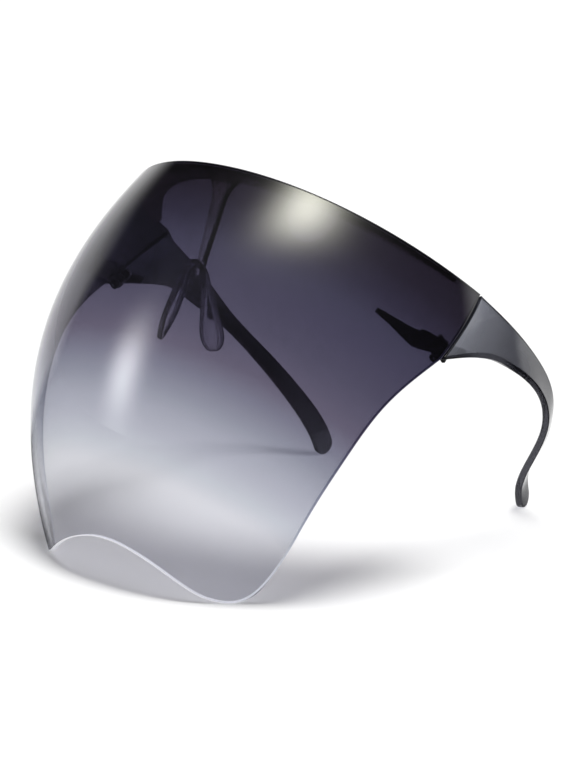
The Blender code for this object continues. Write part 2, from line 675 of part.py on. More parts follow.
def mirror_pieces(group, assembly, hinge, frame):
    """Left-hand twins of the right-hand pieces, each in the frame of the left hinge."""
    for thing in [piece for piece in group.objects if piece.name.endswith("_right")]:
        mesh = evaluated_mesh(thing, thing.name.replace("right", "left"))
        mesh.transform(Matrix.Diagonal((1, -1, 1, 1)))
        mesh.flip_normals()
        if thing.parent == assembly:
            add_object(mesh, group, assembly).matrix_local = frame
        else:
            add_object(mesh, group, hinge)


def world_points(things):
    """All vertices of the evaluated objects, in world space."""
    bpy.context.view_layer.update()
    graph = bpy.context.evaluated_depsgraph_get()
    points = []
    for thing in things:
        evaluated = thing.evaluated_get(graph)
        mesh = evaluated.to_mesh()
        flat = np.empty(len(mesh.vertices) * 3)
        mesh.vertices.foreach_get("co", flat)
        matrix = np.array(thing.matrix_world)
        points.append(flat.reshape(-1, 3) @ matrix[:3, :3].T + matrix[:3, 3])
        evaluated.to_mesh_clear()
    return np.concatenate(points)


def stand_up(assembly, group):
    """Tip the assembly until lens lobes and temple tips stand on one floor, centred over the origin."""
    lens = world_points([group.objects["lens"]])
    temples = world_points([group.objects["temple_right"], group.objects["temple_left"]])
    low, high = 0.0, math.pi / 2
    for _ in range(TILT_STEPS):
        tilt = (low + high) / 2
        upward = np.array([0, -math.sin(tilt), math.cos(tilt)])
        if (lens @ upward).min() < (temples @ upward).min():
            low = tilt
        else:
            high = tilt
    assembly.rotation_euler = (-tilt, 0, 0)
    everything = world_points(group.objects)
    middle = (everything.min(axis=0) + everything.max(axis=0)) / 2
    assembly.location = (-middle[0], -middle[1], -everything[:, 2].min())


def add_empty(name, group, parent, frame):
    """Empty that marks a frame and carries pieces."""
    empty = bpy.data.objects.new(name, None)
    empty.empty_display_size = KNUCKLE_RADIUS
    group.objects.link(empty)
    empty.parent = parent
    empty.matrix_local = frame
    return empty


def main():
    """Build every piece and stand the sunglasses on the floor."""
    clear_scene()
    group = new_collection("shield_sunglasses")
    shapes = new_collection("cutters_and_joined_shapes")
    frame = hinge_frame()
    assembly = add_empty("assembly", shapes, None, Matrix())
    right = add_empty("hinge_axis_right", shapes, assembly, frame)
    left = add_empty("hinge_axis_left", shapes, assembly, mirrored_frame(frame))
    build_lens(group, assembly)
    build_brow(group, shapes, assembly)
    build_nose_pad(group, assembly)
    build_side(group, shapes, assembly, right, frame)
    mirror_pieces(group, assembly, left, mirrored_frame(frame))
    stand_up(assembly, group)


main()
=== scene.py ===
"""Looks of the shield sunglasses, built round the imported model.

Shapes are worked out in millimetres in the worn position: +X to the wearer's right-hand
piece, -Y forward, +Z up, with the most forward point of the shield at the origin. WornPose
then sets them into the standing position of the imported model, in metres.
"""
from __future__ import annotations

import json
import logging
import math
from dataclasses import dataclass, replace
from enum import Enum
from typing import Iterable, Sequence

import bpy
import numpy as np
from mathutils import Matrix, Vector

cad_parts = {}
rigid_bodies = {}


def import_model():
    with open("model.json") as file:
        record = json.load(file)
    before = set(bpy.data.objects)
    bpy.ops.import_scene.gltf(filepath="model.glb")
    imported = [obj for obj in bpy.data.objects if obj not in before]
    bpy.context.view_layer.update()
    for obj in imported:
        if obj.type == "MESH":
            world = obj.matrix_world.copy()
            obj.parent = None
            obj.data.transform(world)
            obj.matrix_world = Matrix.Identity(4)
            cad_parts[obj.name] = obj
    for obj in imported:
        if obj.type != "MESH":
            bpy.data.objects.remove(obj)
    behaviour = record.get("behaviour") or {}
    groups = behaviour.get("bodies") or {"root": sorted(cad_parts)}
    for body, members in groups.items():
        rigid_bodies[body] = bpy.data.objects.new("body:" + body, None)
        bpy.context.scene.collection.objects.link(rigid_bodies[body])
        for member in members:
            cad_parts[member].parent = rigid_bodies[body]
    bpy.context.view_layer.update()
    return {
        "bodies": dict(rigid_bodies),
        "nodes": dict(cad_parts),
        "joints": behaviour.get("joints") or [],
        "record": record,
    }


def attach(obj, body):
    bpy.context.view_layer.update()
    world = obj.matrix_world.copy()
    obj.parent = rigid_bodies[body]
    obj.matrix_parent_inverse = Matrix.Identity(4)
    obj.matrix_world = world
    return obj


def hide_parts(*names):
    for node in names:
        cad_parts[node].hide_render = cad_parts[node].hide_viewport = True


LOG = logging.getLogger("shield_sunglasses")
MM = 0.001
DYE_MARK = "dye_place"
DYE_LOW = -200.0
DYE_HIGH = 50.0
SHARP_ANGLE = math.radians(50.0)
SLOPE_STEP = 0.001
GRAIN_DEPTH = 0.1 * MM
SMOKE_SHADE = (0.5, 0.5, 0.52)

Node, Socket, Material = bpy.types.Node, bpy.types.NodeSocket, bpy.types.Material
Array = np.ndarray
Color = tuple[float, float, float]
Stop = tuple[float, Color]


class Body(Enum):
    """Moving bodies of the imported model."""

    FRONT = "front"
    RIGHT_TEMPLE = "right_temple"
    LEFT_TEMPLE = "left_temple"


class Side(Enum):
    """Which side of the wearer a piece belongs to."""

    RIGHT = "right"
    LEFT = "left"

    def turned(self, points: Array) -> Array:
        """Points of the right side, mirrored for the left one."""
        return points if self is Side.RIGHT else points * np.array([-1.0, 1.0, 1.0])

    def temple(self) -> Body:
        """Body of the temple on this side."""
        return Body(f"{self.value}_temple")


def unit(vectors: Array) -> Array:
    """Vectors of length one."""
    vectors = np.asarray(vectors, float)
    return vectors / np.linalg.norm(vectors, axis=-1, keepdims=True)


def eased(share: Array) -> Array:
    """Share from 0 to 1 with a soft start and end: 3 s squared minus 2 s cubed."""
    share = np.clip(share, 0.0, 1.0)
    return share * share * (3 - 2 * share)


def edged_shares(count: int, edge: float) -> Array:
    """Even shares from 0 to 1, with one more close to each end so that edges shade cleanly.

    Args:
        count: Number of even shares.
        edge: Distance of the close share from its end.

    Returns:
        Rising shares from 0 to 1.
    """
    middle = np.linspace(0.0, 1.0, count)[1:-1]
    middle = middle[(middle > edge * 1.5) & (middle < 1 - edge * 1.5)]
    return np.concatenate([[0.0, edge], middle, [1 - edge, 1.0]])


def spline(knots: Sequence[float], values: Array, places: Array) -> Array:
    """Natural cubic spline through values at the knots, read at the places.

    Args:
        knots: Rising parameter of each value.
        values: One row for each knot.
        places: Parameters to read.

    Returns:
        One row, or one number, for each place.
    """
    knots = np.asarray(knots, float)
    values = np.asarray(values, float).reshape(len(knots), -1)
    step = np.diff(knots)
    slope = np.diff(values, axis=0) / step[:, None]
    system = np.eye(len(knots))
    inner = np.arange(1, len(knots) - 1)
    system[inner, inner - 1] = step[:-1]
    system[inner, inner] = 2 * (step[:-1] + step[1:])
    system[inner, inner + 1] = step[1:]
    right = np.zeros_like(values)
    right[1:-1] = 6 * np.diff(slope, axis=0)
    bend = np.linalg.solve(system, right)
    places = np.atleast_1d(np.asarray(places, float))
    cell = np.clip(np.searchsorted(knots, places) - 1, 0, len(step) - 1)
    width = step[cell][:, None]
    before = (knots[cell + 1] - places)[:, None]
    after = (places - knots[cell])[:, None]
    cubic = (bend[cell] * before ** 3 + bend[cell + 1] * after ** 3) / (6 * width)
    start = (values[cell] / width - bend[cell] * width / 6) * before
    end = (values[cell + 1] / width - bend[cell + 1] * width / 6) * after
    return (cubic + start + end).squeeze()


@dataclass
class Shell:
    """Closed surface under construction, in the worn position.

    Each face is either part of a broad surface or of an edge, which may get its own finish.
    The dye changes along an axis, as a rule with the height.
    """

    points: Array
    faces: list[list[int]]
    edge: Array
    dye_axis: tuple[float, float, float] = (0.0, 0.0, 1.0)

    def joined(self, others: Iterable[Shell]) -> Shell:
        """Shell that holds this one and others side by side, in the same mesh.

        Args:
            others: Closed shells, which may reach into each other.

        Returns:
            A shell of all their points and faces.
        """
        shells = [self, *others]
        starts = np.cumsum([0] + [len(shell.points) for shell in shells])
        faces = [[index + int(start) for index in face]
                 for shell, start in zip(shells, starts) for face in shell.faces]
        return Shell(np.concatenate([shell.points for shell in shells]), faces,
                     np.concatenate([shell.edge for shell in shells]))

    def placed(self, frame: Array) -> Shell:
        """The shell carried into a frame given as a 4 by 4 matrix."""
        return replace(self, points=self.points @ frame[:3, :3].T + frame[:3, 3])

    def flipped(self) -> Shell:
        """The same shell with each face turned over."""
        return replace(self, faces=[face[::-1] for face in self.faces])

    def on(self, side: Side) -> Shell:
        """The right-hand shell, or its mirror image with its faces turned outwards again."""
        return self if side is Side.RIGHT else replace(self, points=side.turned(self.points)).flipped()

    def volume(self) -> float:
        """Volume inside the faces: the sum of the signed tetrahedra from the origin to each triangle.

        Returns:
            Cubic millimetres, negative where the faces point inwards.
        """
        total = 0.0
        quads = np.array([face for face in self.faces if len(face) == 4])
        for second, third in ((1, 2), (2, 3)):
            a, b, c = (self.points[quads[:, k]] for k in (0, second, third))
            total += np.einsum("ij,ij->", a, np.cross(b, c)) / 6
        for face in (face for face in self.faces if len(face) != 4):
            corners = self.points[face]
            fan = np.cross(corners[1:-1], corners[2:])
            total += (fan @ corners[0]).sum() / 6
        return float(total)

    def outward(self) -> Shell:
        """The same shell with its faces pointing outwards."""
        return self if self.volume() > 0 else self.flipped()


def loft(rings: Array, edge_strips: Sequence[int] = (), closed: bool = False) -> Shell:
    """Surface through rings of points, with flat caps unless it closes on itself.

    Args:
        rings: Rings by points by three coordinates.
        edge_strips: Points round a ring where strips of edge faces start.
        closed: Whether the last ring joins the first, as in a revolved section.

    Returns:
        A closed shell with its faces outwards.
    """
    count, sides = rings.shape[:2]
    steps = count if closed else count - 1
    ring = np.arange(steps)[:, None]
    here = np.arange(sides)[None, :]
    there = (here + 1) % sides
    after = (ring + 1) % count
    walls = np.stack(
        [ring * sides + here, ring * sides + there, after * sides + there, after * sides + here], axis=-1)
    faces = walls.reshape(-1, 4).tolist()
    edge = np.tile(np.isin(here[0], edge_strips), steps)
    if not closed:
        faces += [list(range(sides))[::-1], list(range((count - 1) * sides, count * sides))]
        edge = np.append(edge, [True, True])
    return Shell(rings.reshape(-1, 3), faces, edge).outward()


def wall_shell(outer: Array, inward: Array, wall: float, rounding: float, steps: int = 4,
               round_edge: bool = False, marked: Sequence[int] = (),
               face: tuple[Array, Array] | None = None) -> Shell:
    """Wall of even thickness behind a grid of points, with rounded edges.

    The outline of the grid is drawn in by the rounding. From there a quarter circle turns
    over the edge, and another returns to the inner face, which lies one wall behind.

    Args:
        outer: Rows by columns by three: the outer face.
        inward: Unit vectors of the same shape, square to that face, towards its inside.
        wall: Thickness.
        rounding: Radius of both edges, less than half the thickness.
        steps: Faces in each quarter circle.
        round_edge: Whether the quarter circles count as edge faces too, not only the flat between them.
        marked: Columns of outer faces that count as edge faces.
        face: Points and inward vectors inside the outline, where the grid itself would fold over.

    Returns:
        A closed shell with its faces outwards.
    """
    rows, columns = outer.shape[:2]
    total = rows * columns
    index = np.arange(total).reshape(rows, columns)
    loop = np.concatenate([index[0, :-1], index[:-1, -1], index[-1, :0:-1], index[:0:-1, 0]])
    points, inside = outer.reshape(-1, 3), inward.reshape(-1, 3)
    edge, into = points[loop], inside[loop]
    aside = unit(np.cross(np.roll(edge, -1, axis=0) - np.roll(edge, 1, axis=0), into))
    aside *= np.sign(np.einsum("ij,ij->", aside, edge - points.mean(axis=0)))
    turn = np.linspace(0.0, math.pi / 2, steps + 1)[:, None, None]
    first = edge + rounding * (into - aside)
    second = first + (wall - 2 * rounding) * into
    over = first + rounding * (np.sin(turn) * aside - np.cos(turn) * into)
    under = second + rounding * (np.cos(turn) * aside + np.sin(turn) * into)
    if face is not None:
        points, inside = (grid.reshape(-1, 3) for grid in face)
    outer_face, inner_face = points.copy(), points + wall * inside
    outer_face[loop], inner_face[loop] = over[0], under[-1]
    rings = np.concatenate([over[1:], under[:-1]])
    corner = index[:-1, :-1].reshape(-1)
    quads = np.stack([corner, corner + 1, corner + columns + 1, corner + columns], axis=-1)
    between = 2 * total + np.arange(len(rings) * len(loop)).reshape(len(rings), -1)
    levels = np.concatenate([loop[None], between, loop[None] + total])
    after = np.roll(levels, -1, axis=1)
    band = np.stack([levels[:-1], levels[1:], after[1:], after[:-1]], axis=-1).reshape(-1, 4)
    broad = np.zeros((2, rows - 1, columns - 1), bool)
    broad[0][:, list(marked)] = True
    flat = np.full((len(levels) - 1, len(loop)), round_edge)
    flat[steps] = True
    return Shell(np.concatenate([outer_face, inner_face, rings.reshape(-1, 3)]),
                 np.concatenate([quads, quads[:, ::-1] + total, band]).tolist(),
                 np.concatenate([broad.reshape(-1), flat.reshape(-1)])).outward()


def rounded_rectangle(length: Array, height: float, radius: float, steps: int = 4) -> Array:
    """Outline of a rectangle with rounded corners, for each of several lengths.

    Args:
        length: Length of each outline.
        height: Height of all of them.
        radius: Radius of the corners.
        steps: Faces in each corner.

    Returns:
        Outlines by points by two, running from corner to corner, with the origin at one corner.
    """
    turn = np.linspace(0.0, math.pi / 2, steps + 1)
    length = np.atleast_1d(length)[:, None]
    outline = []
    for quarter, (right, top) in enumerate(((1, 1), (0, 1), (0, 0), (1, 0))):
        angle = turn + quarter * math.pi / 2
        x = right * length + (radius if not right else -radius) + radius * np.cos(angle)
        y = top * height + (radius if not top else -radius) + radius * np.sin(angle)
        outline.append(np.stack(np.broadcast_arrays(x, y), axis=-1))
    return np.concatenate(outline, axis=1)


def frame_of(x: Array, y: Array, z: Array, origin: Array) -> Array:
    """Frame as a 4 by 4 matrix, from its axes and its origin."""
    return np.vstack([np.stack([x, y, z, origin], axis=-1), [0.0, 0.0, 0.0, 1.0]])


def revolved(profile: Array, sides: int) -> Shell:
    """Closed section turned about Z.

    Args:
        profile: Points of radius and level round the section, which doesn't touch the axis.
        sides: Faces round the axis.

    Returns:
        A ring-shaped closed shell.
    """
    turn = np.linspace(0.0, 2 * math.pi, sides, endpoint=False)[:, None]
    radius, level = profile[:, 0], profile[:, 1]
    rings = np.stack([radius * np.cos(turn), radius * np.sin(turn), level + 0 * turn], axis=-1)
    return loft(rings, closed=True)


@dataclass(frozen=True)
class WornPose:
    """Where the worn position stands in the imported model: a turn about X, then a shift in metres."""

    tilt: float
    shift: Array

    @classmethod
    def from_joint(cls, joint: dict, frame: Array) -> WornPose:
        """Pose that carries the hinge of the worn position onto the joint of the model.

        Args:
            joint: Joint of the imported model, with its place and axis.
            frame: The same hinge in the worn position, its axis along the third column.

        Returns:
            The pose of all worn shapes.
        """
        axis, worn = np.array(joint["axis"]), frame[:3, 2]
        tilt = math.atan2(axis[2], axis[1]) - math.atan2(worn[2], worn[1])
        shift = np.array(joint["pos_m"]) - cls.turn(tilt) @ frame[:3, 3] * MM
        return cls(tilt, shift)

    @staticmethod
    def turn(tilt: float) -> Array:
        """Rotation matrix of a turn about X."""
        c, s = math.cos(tilt), math.sin(tilt)
        return np.array([[1.0, 0.0, 0.0], [0.0, c, -s], [0.0, s, c]])

    def place(self, points: Array) -> Array:
        """Worn points in millimetres, as points of the model in metres."""
        return points @ self.turn(self.tilt).T * MM + self.shift

    def worn(self, points: Array) -> Array:
        """Points of the model in metres, back in the worn position in millimetres."""
        return (points - self.shift) @ self.turn(self.tilt) / MM

    def direction(self, vector: Array) -> Array:
        """Worn direction as a direction in the model."""
        return self.turn(self.tilt) @ np.asarray(vector, float)


class NodeSheet:
    """Nodes of a material or of the world, added and joined in short calls."""

    def __init__(self, owner: bpy.types.ID, output: str = "OutputMaterial") -> None:
        """Start with nothing but an output.

        Args:
            owner: New material or world that the nodes belong to.
            output: Node type of its output, without the ShaderNode prefix.
        """
        owner.use_nodes = True
        self.owner = owner
        self.tree = owner.node_tree
        self.tree.nodes.clear()
        self.output = self.add(output)

    @classmethod
    def named(cls, name: str) -> NodeSheet:
        """Sheet of a new material."""
        return cls(bpy.data.materials.new(name))

    def add(self, kind: str, inputs: dict | None = None, **settings: object) -> Node:
        """Add a node.

        Args:
            kind: Node type without its ShaderNode prefix.
            inputs: Socket name or index to a value, or to the socket that feeds it.
            settings: Attributes of the node itself.

        Returns:
            The new node.
        """
        node = self.tree.nodes.new(f"ShaderNode{kind}")
        for key, value in settings.items():
            setattr(node, key, value)
        for key, value in (inputs or {}).items():
            socket = node.inputs[key]
            if isinstance(value, Socket):
                self.tree.links.new(value, socket)
            else:
                socket.default_value = value
        return node

    def ramp(self, factor: Socket, stops: Sequence[Stop]) -> Socket:
        """Colour from a ramp.

        Args:
            factor: Position on the ramp, from 0 to 1.
            stops: Position and linear colour of each stop, in rising order.

        Returns:
            The colour.
        """
        node = self.add("ValToRGB", {"Fac": factor})
        elements = node.color_ramp.elements
        for position, color in stops[len(elements):]:
            elements.new(position)
        for element, (position, color) in zip(elements, stops):
            element.position = position
        for element, (position, color) in zip(elements, stops):
            element.color = (*color, 1.0)
        return node.outputs["Color"]

    def maths(self, operation: str, *values: object) -> Socket:
        """Result of a Math node on numbers or sockets."""
        return self.add("Math", dict(enumerate(values)), operation=operation).outputs[0]

    def dot(self, vector: Socket, axis: Sequence[float]) -> Socket:
        """Dot product of a vector and a fixed axis."""
        return self.add("VectorMath", {0: vector, 1: tuple(axis)}, operation="DOT_PRODUCT").outputs["Value"]

    def scaled(self, vector: object, share: object) -> Socket:
        """Vector or colour times a share."""
        return self.add("VectorMath", {0: vector, "Scale": share}, operation="SCALE").outputs["Vector"]

    def fade(self, value: Socket, ends: tuple[float, float]) -> Socket:
        """Smooth share from 0 at the first end to 1 at the second."""
        inputs = {"Value": value, "From Min": ends[0], "From Max": ends[1]}
        return self.add("MapRange", inputs, interpolation_type="SMOOTHSTEP").outputs[0]

    def spread(self, share: Socket, ends: tuple[float, float]) -> Socket:
        """Value between two ends, by a share from 0 to 1."""
        return self.add("MapRange", {"Value": share, "To Min": ends[0], "To Max": ends[1]}).outputs["Result"]

    def noise(self, scale: float, detail: float = 2.0) -> Socket:
        """Noise on Object coordinates, from 0 to 1."""
        inputs = {"Vector": self.object_place(), "Scale": scale, "Detail": detail}
        return self.add("TexNoise", inputs).outputs["Fac"]

    def relief(self, height: Socket, strength: float, depth: float) -> Socket:
        """Normal of a surface with a fine relief."""
        inputs = {"Strength": strength, "Distance": depth, "Height": height}
        return self.add("Bump", inputs).outputs["Normal"]

    def mixed(self, factor: object, first: Node, second: Node) -> Node:
        """Mix of the surfaces of two nodes."""
        return self.add("MixShader", {0: factor, 1: first.outputs[0], 2: second.outputs[0]})

    def dye(self, stops: Sequence[Stop]) -> Socket:
        """Colour of the dye at each point, whose place on the dye's scale is an attribute of the piece.

        Args:
            stops: Place in millimetres and screen tone of each stop, in rising order.

        Returns:
            The colour.
        """
        place = self.add("Attribute", attribute_name=DYE_MARK).outputs["Fac"]
        return self.ramp(place, [(dye_share(height), linear(tone)) for height, tone in stops])

    def object_place(self) -> Socket:
        """Object coordinates."""
        return self.add("TexCoord").outputs["Object"]

    def finish(self, surface: Node) -> bpy.types.ID:
        """Join the surface to the output."""
        self.tree.links.new(surface.outputs[0], self.output.inputs["Surface"])
        return self.owner


def linear(tone: Sequence[float]) -> Color:
    """Screen tone as a linear colour, by the curve of the sRGB standard.

    Args:
        tone: Red, green and blue from 0 to 255.

    Returns:
        Linear red, green and blue from 0 to 1.
    """
    value = np.asarray(tone, float) / 255
    low, high = value / 12.92, ((value + 0.055) / 1.055) ** 2.4
    return tuple(float(part) for part in np.where(value <= 0.04045, low, high))


def grey(level: float) -> tuple[float, float, float, float]:
    """Opaque grey of a linear level."""
    return level, level, level, 1.0


def noise_stops(low: Color, high: Color) -> list[Stop]:
    """Stops of a ramp from one colour to another over the span that noise mostly keeps to."""
    return [(0.3, low), (0.7, high)]


def dye_share(place: Array) -> Array:
    """Share of the dye's scale at places in millimetres."""
    return (place - DYE_LOW) / (DYE_HIGH - DYE_LOW)


@dataclass(frozen=True)
class ClearPlastic:
    """Clear moulded plastic or rubber, dyed by place, which lets a tinted light through.

    The shade is the colour of its shadow, and where there is none the shadow has the dye. Edge finishes take
    darker stops than their faces, as painted shade.
    """

    name: str
    stops: tuple[Stop, ...]
    shade: Color | None = None
    refraction: float = 1.5
    clearness: float = 1.0
    roughness: float = 0.02
    cloud: float = 0.04
    cloud_scale: float = 120.0
    wave: float = 0.02
    wave_scale: float = 45.0
    wall_power: float = 0.5

    def material(self) -> Material:
        """Plastic whose dye changes by place, with faint clouds in it and a faint wave on its face.

        A shadow ray passes both faces of a wall, so each takes the root of the shade.

        Returns:
            The new material.
        """
        sheet = NodeSheet.named(self.name)
        cloud = sheet.spread(sheet.noise(self.cloud_scale), (1 - self.cloud, 1.0))
        # For the edge finishes this darker dye is painted shade.
        tint = sheet.scaled(sheet.dye(self.stops), cloud)
        wave = sheet.noise(self.wave_scale, detail=1.0)
        plastic = sheet.add("BsdfPrincipled", {
            "Base Color": tint, "Roughness": self.roughness, "IOR": self.refraction,
            "Transmission Weight": self.clearness, "Normal": sheet.relief(wave, self.wave, MM)})
        shade = (*self.shade, 1.0) if self.shade else tint
        face = sheet.add("Gamma", {"Color": shade, "Gamma": self.wall_power})
        passing = sheet.add("BsdfTransparent", {"Color": face.outputs[0]})
        shadow = sheet.add("LightPath").outputs["Is Shadow Ray"]
        return sheet.finish(sheet.mixed(shadow, plastic, passing))


@dataclass(frozen=True)
class SatinPlastic:
    """Opaque moulded plastic with faint cloudiness in its colour and gloss."""

    name: str
    color: Color
    cloud: float = 0.15
    cloud_scale: float = 90.0
    grain: float = 0.02
    grain_scale: float = 1400.0
    roughness: tuple[float, float] = (0.25, 0.4)

    def material(self) -> Material:
        """Plastic with noise in its colour, roughness and bump.

        Returns:
            The new material.
        """
        sheet = NodeSheet.named(self.name)
        cloud = sheet.noise(self.cloud_scale, detail=3.0)
        fine = sheet.noise(self.grain_scale)
        shares = (1 - self.cloud, 1 + self.cloud)
        dark, light = (tuple(part * share for part in self.color) for share in shares)
        return sheet.finish(sheet.add("BsdfPrincipled", {
            "Base Color": sheet.ramp(cloud, noise_stops(dark, light)),
            "Roughness": sheet.spread(fine, self.roughness),
            "Normal": sheet.relief(fine, self.grain, GRAIN_DEPTH)}))


@dataclass(frozen=True)
class GroundEdge:
    """Ground edge of tinted plastic, with a painted glow: it emits in the dye's colour, so it shines where
    the dye is pale.
    """

    name: str
    stops: tuple[Stop, ...]
    # Strength of the painted glow, an emission in the dye's colour.
    glow: float = 0.5
    grain: float = 0.1
    grain_scale: float = 1800.0
    roughness: tuple[float, float] = (0.3, 0.45)

    def material(self) -> Material:
        """Frosted plastic whose dye changes by place, with fine grinding marks and a painted glow in the
        dye's colour.

        Returns:
            The new material.
        """
        sheet = NodeSheet.named(self.name)
        dye = sheet.dye(self.stops)
        marks = sheet.noise(self.grain_scale)
        # The emission in the dye's colour is a painted glow along the ground edge, brightest where the dye is
        # pale.
        return sheet.finish(sheet.add("BsdfPrincipled", {
            "Base Color": dye, "Emission Color": dye, "Emission Strength": self.glow,
            "Roughness": sheet.spread(marks, self.roughness),
            "Normal": sheet.relief(marks, self.grain, GRAIN_DEPTH)}))


@dataclass(frozen=True)
class TurnedSteel:
    """Bright steel with fine turning marks."""

    color: Color = (0.62, 0.62, 0.64)
    worn_share: float = 0.9
    grain: float = 0.1
    grain_scale: float = 2600.0
    roughness: tuple[float, float] = (0.22, 0.38)

    def material(self) -> Material:
        """Metal with noise in its colour and roughness, and fine scratches.

        Returns:
            The new material.
        """
        sheet = NodeSheet.named("screw_steel")
        marks = sheet.noise(self.grain_scale)
        dull = tuple(self.worn_share * part for part in self.color)
        return sheet.finish(sheet.add("BsdfPrincipled", {
            "Base Color": sheet.ramp(marks, noise_stops(dull, self.color)), "Metallic": 1.0,
            "Roughness": sheet.spread(marks, self.roughness),
            "Normal": sheet.relief(marks, self.grain, GRAIN_DEPTH / 2)}))


SHIELD_TINT = ClearPlastic("lens_tint", (
    (-100.0, (218, 218, 223)), (-82.0, (216, 217, 223)), (-73.0, (211, 212, 218)),
    (-67.0, (193, 196, 205)), (-60.0, (176, 178, 190)), (-54.0, (163, 165, 178)),
    (-47.0, (140, 142, 157)), (-40.0, (119, 118, 136)), (-33.0, (98, 93, 112)),
    (-26.0, (88, 84, 104)), (-19.0, (78, 75, 95)), (-8.0, (69, 66, 87)),
    (2.0, (61, 59, 79)), (12.0, (46, 43, 60)), (22.0, (36, 32, 45)), (38.0, (28, 24, 34))),
    shade=(0.14, 0.14, 0.15), roughness=0.008, cloud=0.02)
# Frosted ground edge in the lens's dye, with a painted glow.
SHIELD_EDGE_PAINTED_GLOW = GroundEdge("lens_edge_painted_glow", SHIELD_TINT.stops)
BROW_SMOKE = ClearPlastic("brow_plastic", (
    (0.0, (255, 252, 250)), (28.0, (238, 232, 226)), (33.0, (136, 128, 124))),
    shade=SMOKE_SHADE, refraction=1.35, cloud=0.2, cloud_scale=260.0, wave=0.05)
# Darker tint for the narrow sides and ends of the brow plate, stem and tongue: painted shade for dark
# outlines.
BROW_EDGE_PAINTED_SHADE = ClearPlastic("brow_edge_painted_shade", ((0.0, (92, 84, 86)), (32.0, (70, 62, 60))),
                         shade=SMOKE_SHADE, roughness=0.04)
PAD_CLEAR = ClearPlastic("pad_clear", (
    (-25.0, (246, 246, 250)), (5.0, (240, 240, 246))), refraction=1.45, clearness=0.85,
    roughness=0.03, cloud=0.06, cloud_scale=300.0, wave=0.05, wave_scale=180.0)
# Darker tint for the saddle's rounded edges: painted shade for dark outlines.
PAD_EDGE_PAINTED_SHADE = ClearPlastic("pad_edge_painted_shade", ((-25.0, (110, 108, 116)), (5.0, (92, 90, 98))), roughness=0.03)
TEMPLE_SMOKE = ClearPlastic("temple_smoke", (
    (-190.0, (104, 104, 108)), (-168.0, (90, 90, 94)), (-150.0, (46, 46, 51)), (-110.0, (66, 67, 74)),
    (-90.0, (96, 97, 105)), (-75.0, (128, 130, 139)), (-62.0, (154, 156, 166))),
    shade=SMOKE_SHADE, clearness=0.55, roughness=0.015, wave=0.0)
# Darker tint for the temple's rounded edges, bevel and top band: painted shade for dark outlines.
TEMPLE_EDGE_PAINTED_SHADE = ClearPlastic("temple_edge_painted_shade", (
    (-190.0, (82, 82, 87)), (-110.0, (66, 66, 72)), (-60.0, (54, 54, 60))),
    shade=SMOKE_SHADE, refraction=1.3, roughness=0.1)
HINGE_BLACK = SatinPlastic("hinge_black", (0.012, 0.012, 0.013))


class Workshop:
    """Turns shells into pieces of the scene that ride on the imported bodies."""

    def __init__(self, pose: WornPose) -> None:
        """Keep the pose of all pieces."""
        self.pose = pose

    def make(self, name: str, shell: Shell, finishes: Sequence[Material], body: Body,
             nodes: Sequence[str]) -> bpy.types.Object:
        """Add a piece to the scene.

        Args:
            name: Name of the object.
            shell: Its closed surface, in the worn position.
            finishes: Its finish, and where it has one the finish of its edges.
            body: The body that it moves with.
            nodes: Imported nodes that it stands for.

        Returns:
            The new object.
        """
        piece = self.bare(name, shell, finishes)
        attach(piece, body.value)
        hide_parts(*nodes)
        LOG.info("%s: %d points, %d faces, %.0f cubic mm", name, len(shell.points), len(shell.faces),
                 shell.volume())
        return piece

    def merge(self, piece: bpy.types.Object, shells: Sequence[Shell]) -> None:
        """Join closed shells into a piece as one body, without walls between them.

        Args:
            piece: Piece made before.
            shells: Shells that reach into it, in the worn position.
        """
        for shell in shells:
            other = self.bare("joined_shape", shell, piece.data.materials)
            union = piece.modifiers.new("Union", "BOOLEAN")
            union.operation, union.object, union.solver = "UNION", other, "EXACT"
            bpy.context.view_layer.update()
            graph = bpy.context.evaluated_depsgraph_get()
            mesh = bpy.data.meshes.new_from_object(piece.evaluated_get(graph))
            piece.modifiers.clear()
            piece.data = mesh
            bpy.data.objects.remove(other)
        self.dress(piece.data, shells[0].dye_axis)

    def bare(self, name: str, shell: Shell, finishes: Sequence[Material]) -> bpy.types.Object:
        """Add an object that rides on nothing yet.

        Args:
            name: Name of the object.
            shell: Its closed surface, in the worn position.
            finishes: Its finish, and where it has one the finish of its edges.

        Returns:
            The new object.
        """
        mesh = bpy.data.meshes.new(name)
        mesh.from_pydata(self.pose.place(shell.points).tolist(), [], shell.faces)
        for material in finishes:
            mesh.materials.append(material)
        mesh.polygons.foreach_set("material_index", (shell.edge & (len(finishes) > 1)).astype(np.int32))
        self.dress(mesh, shell.dye_axis)
        piece = bpy.data.objects.new(name, mesh)
        bpy.context.scene.collection.objects.link(piece)
        return piece

    def dress(self, mesh: bpy.types.Mesh, axis: tuple[float, float, float]) -> None:
        """Shade a mesh smooth between sharp corners, and mark each point's share of the dye's scale.

        Args:
            mesh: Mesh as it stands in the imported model.
            axis: Worn axis along which the dye changes.
        """
        points = np.empty(3 * len(mesh.vertices), np.float32)
        mesh.vertices.foreach_get("co", points)
        share = dye_share(self.pose.worn(points.reshape(-1, 3)) @ axis)
        mark = mesh.attributes.get(DYE_MARK) or mesh.attributes.new(DYE_MARK, "FLOAT", "POINT")
        mark.data.foreach_set("value", share.astype(np.float32))
        mesh.shade_smooth()
        mesh.set_sharp_from_angle(angle=SHARP_ANGLE)


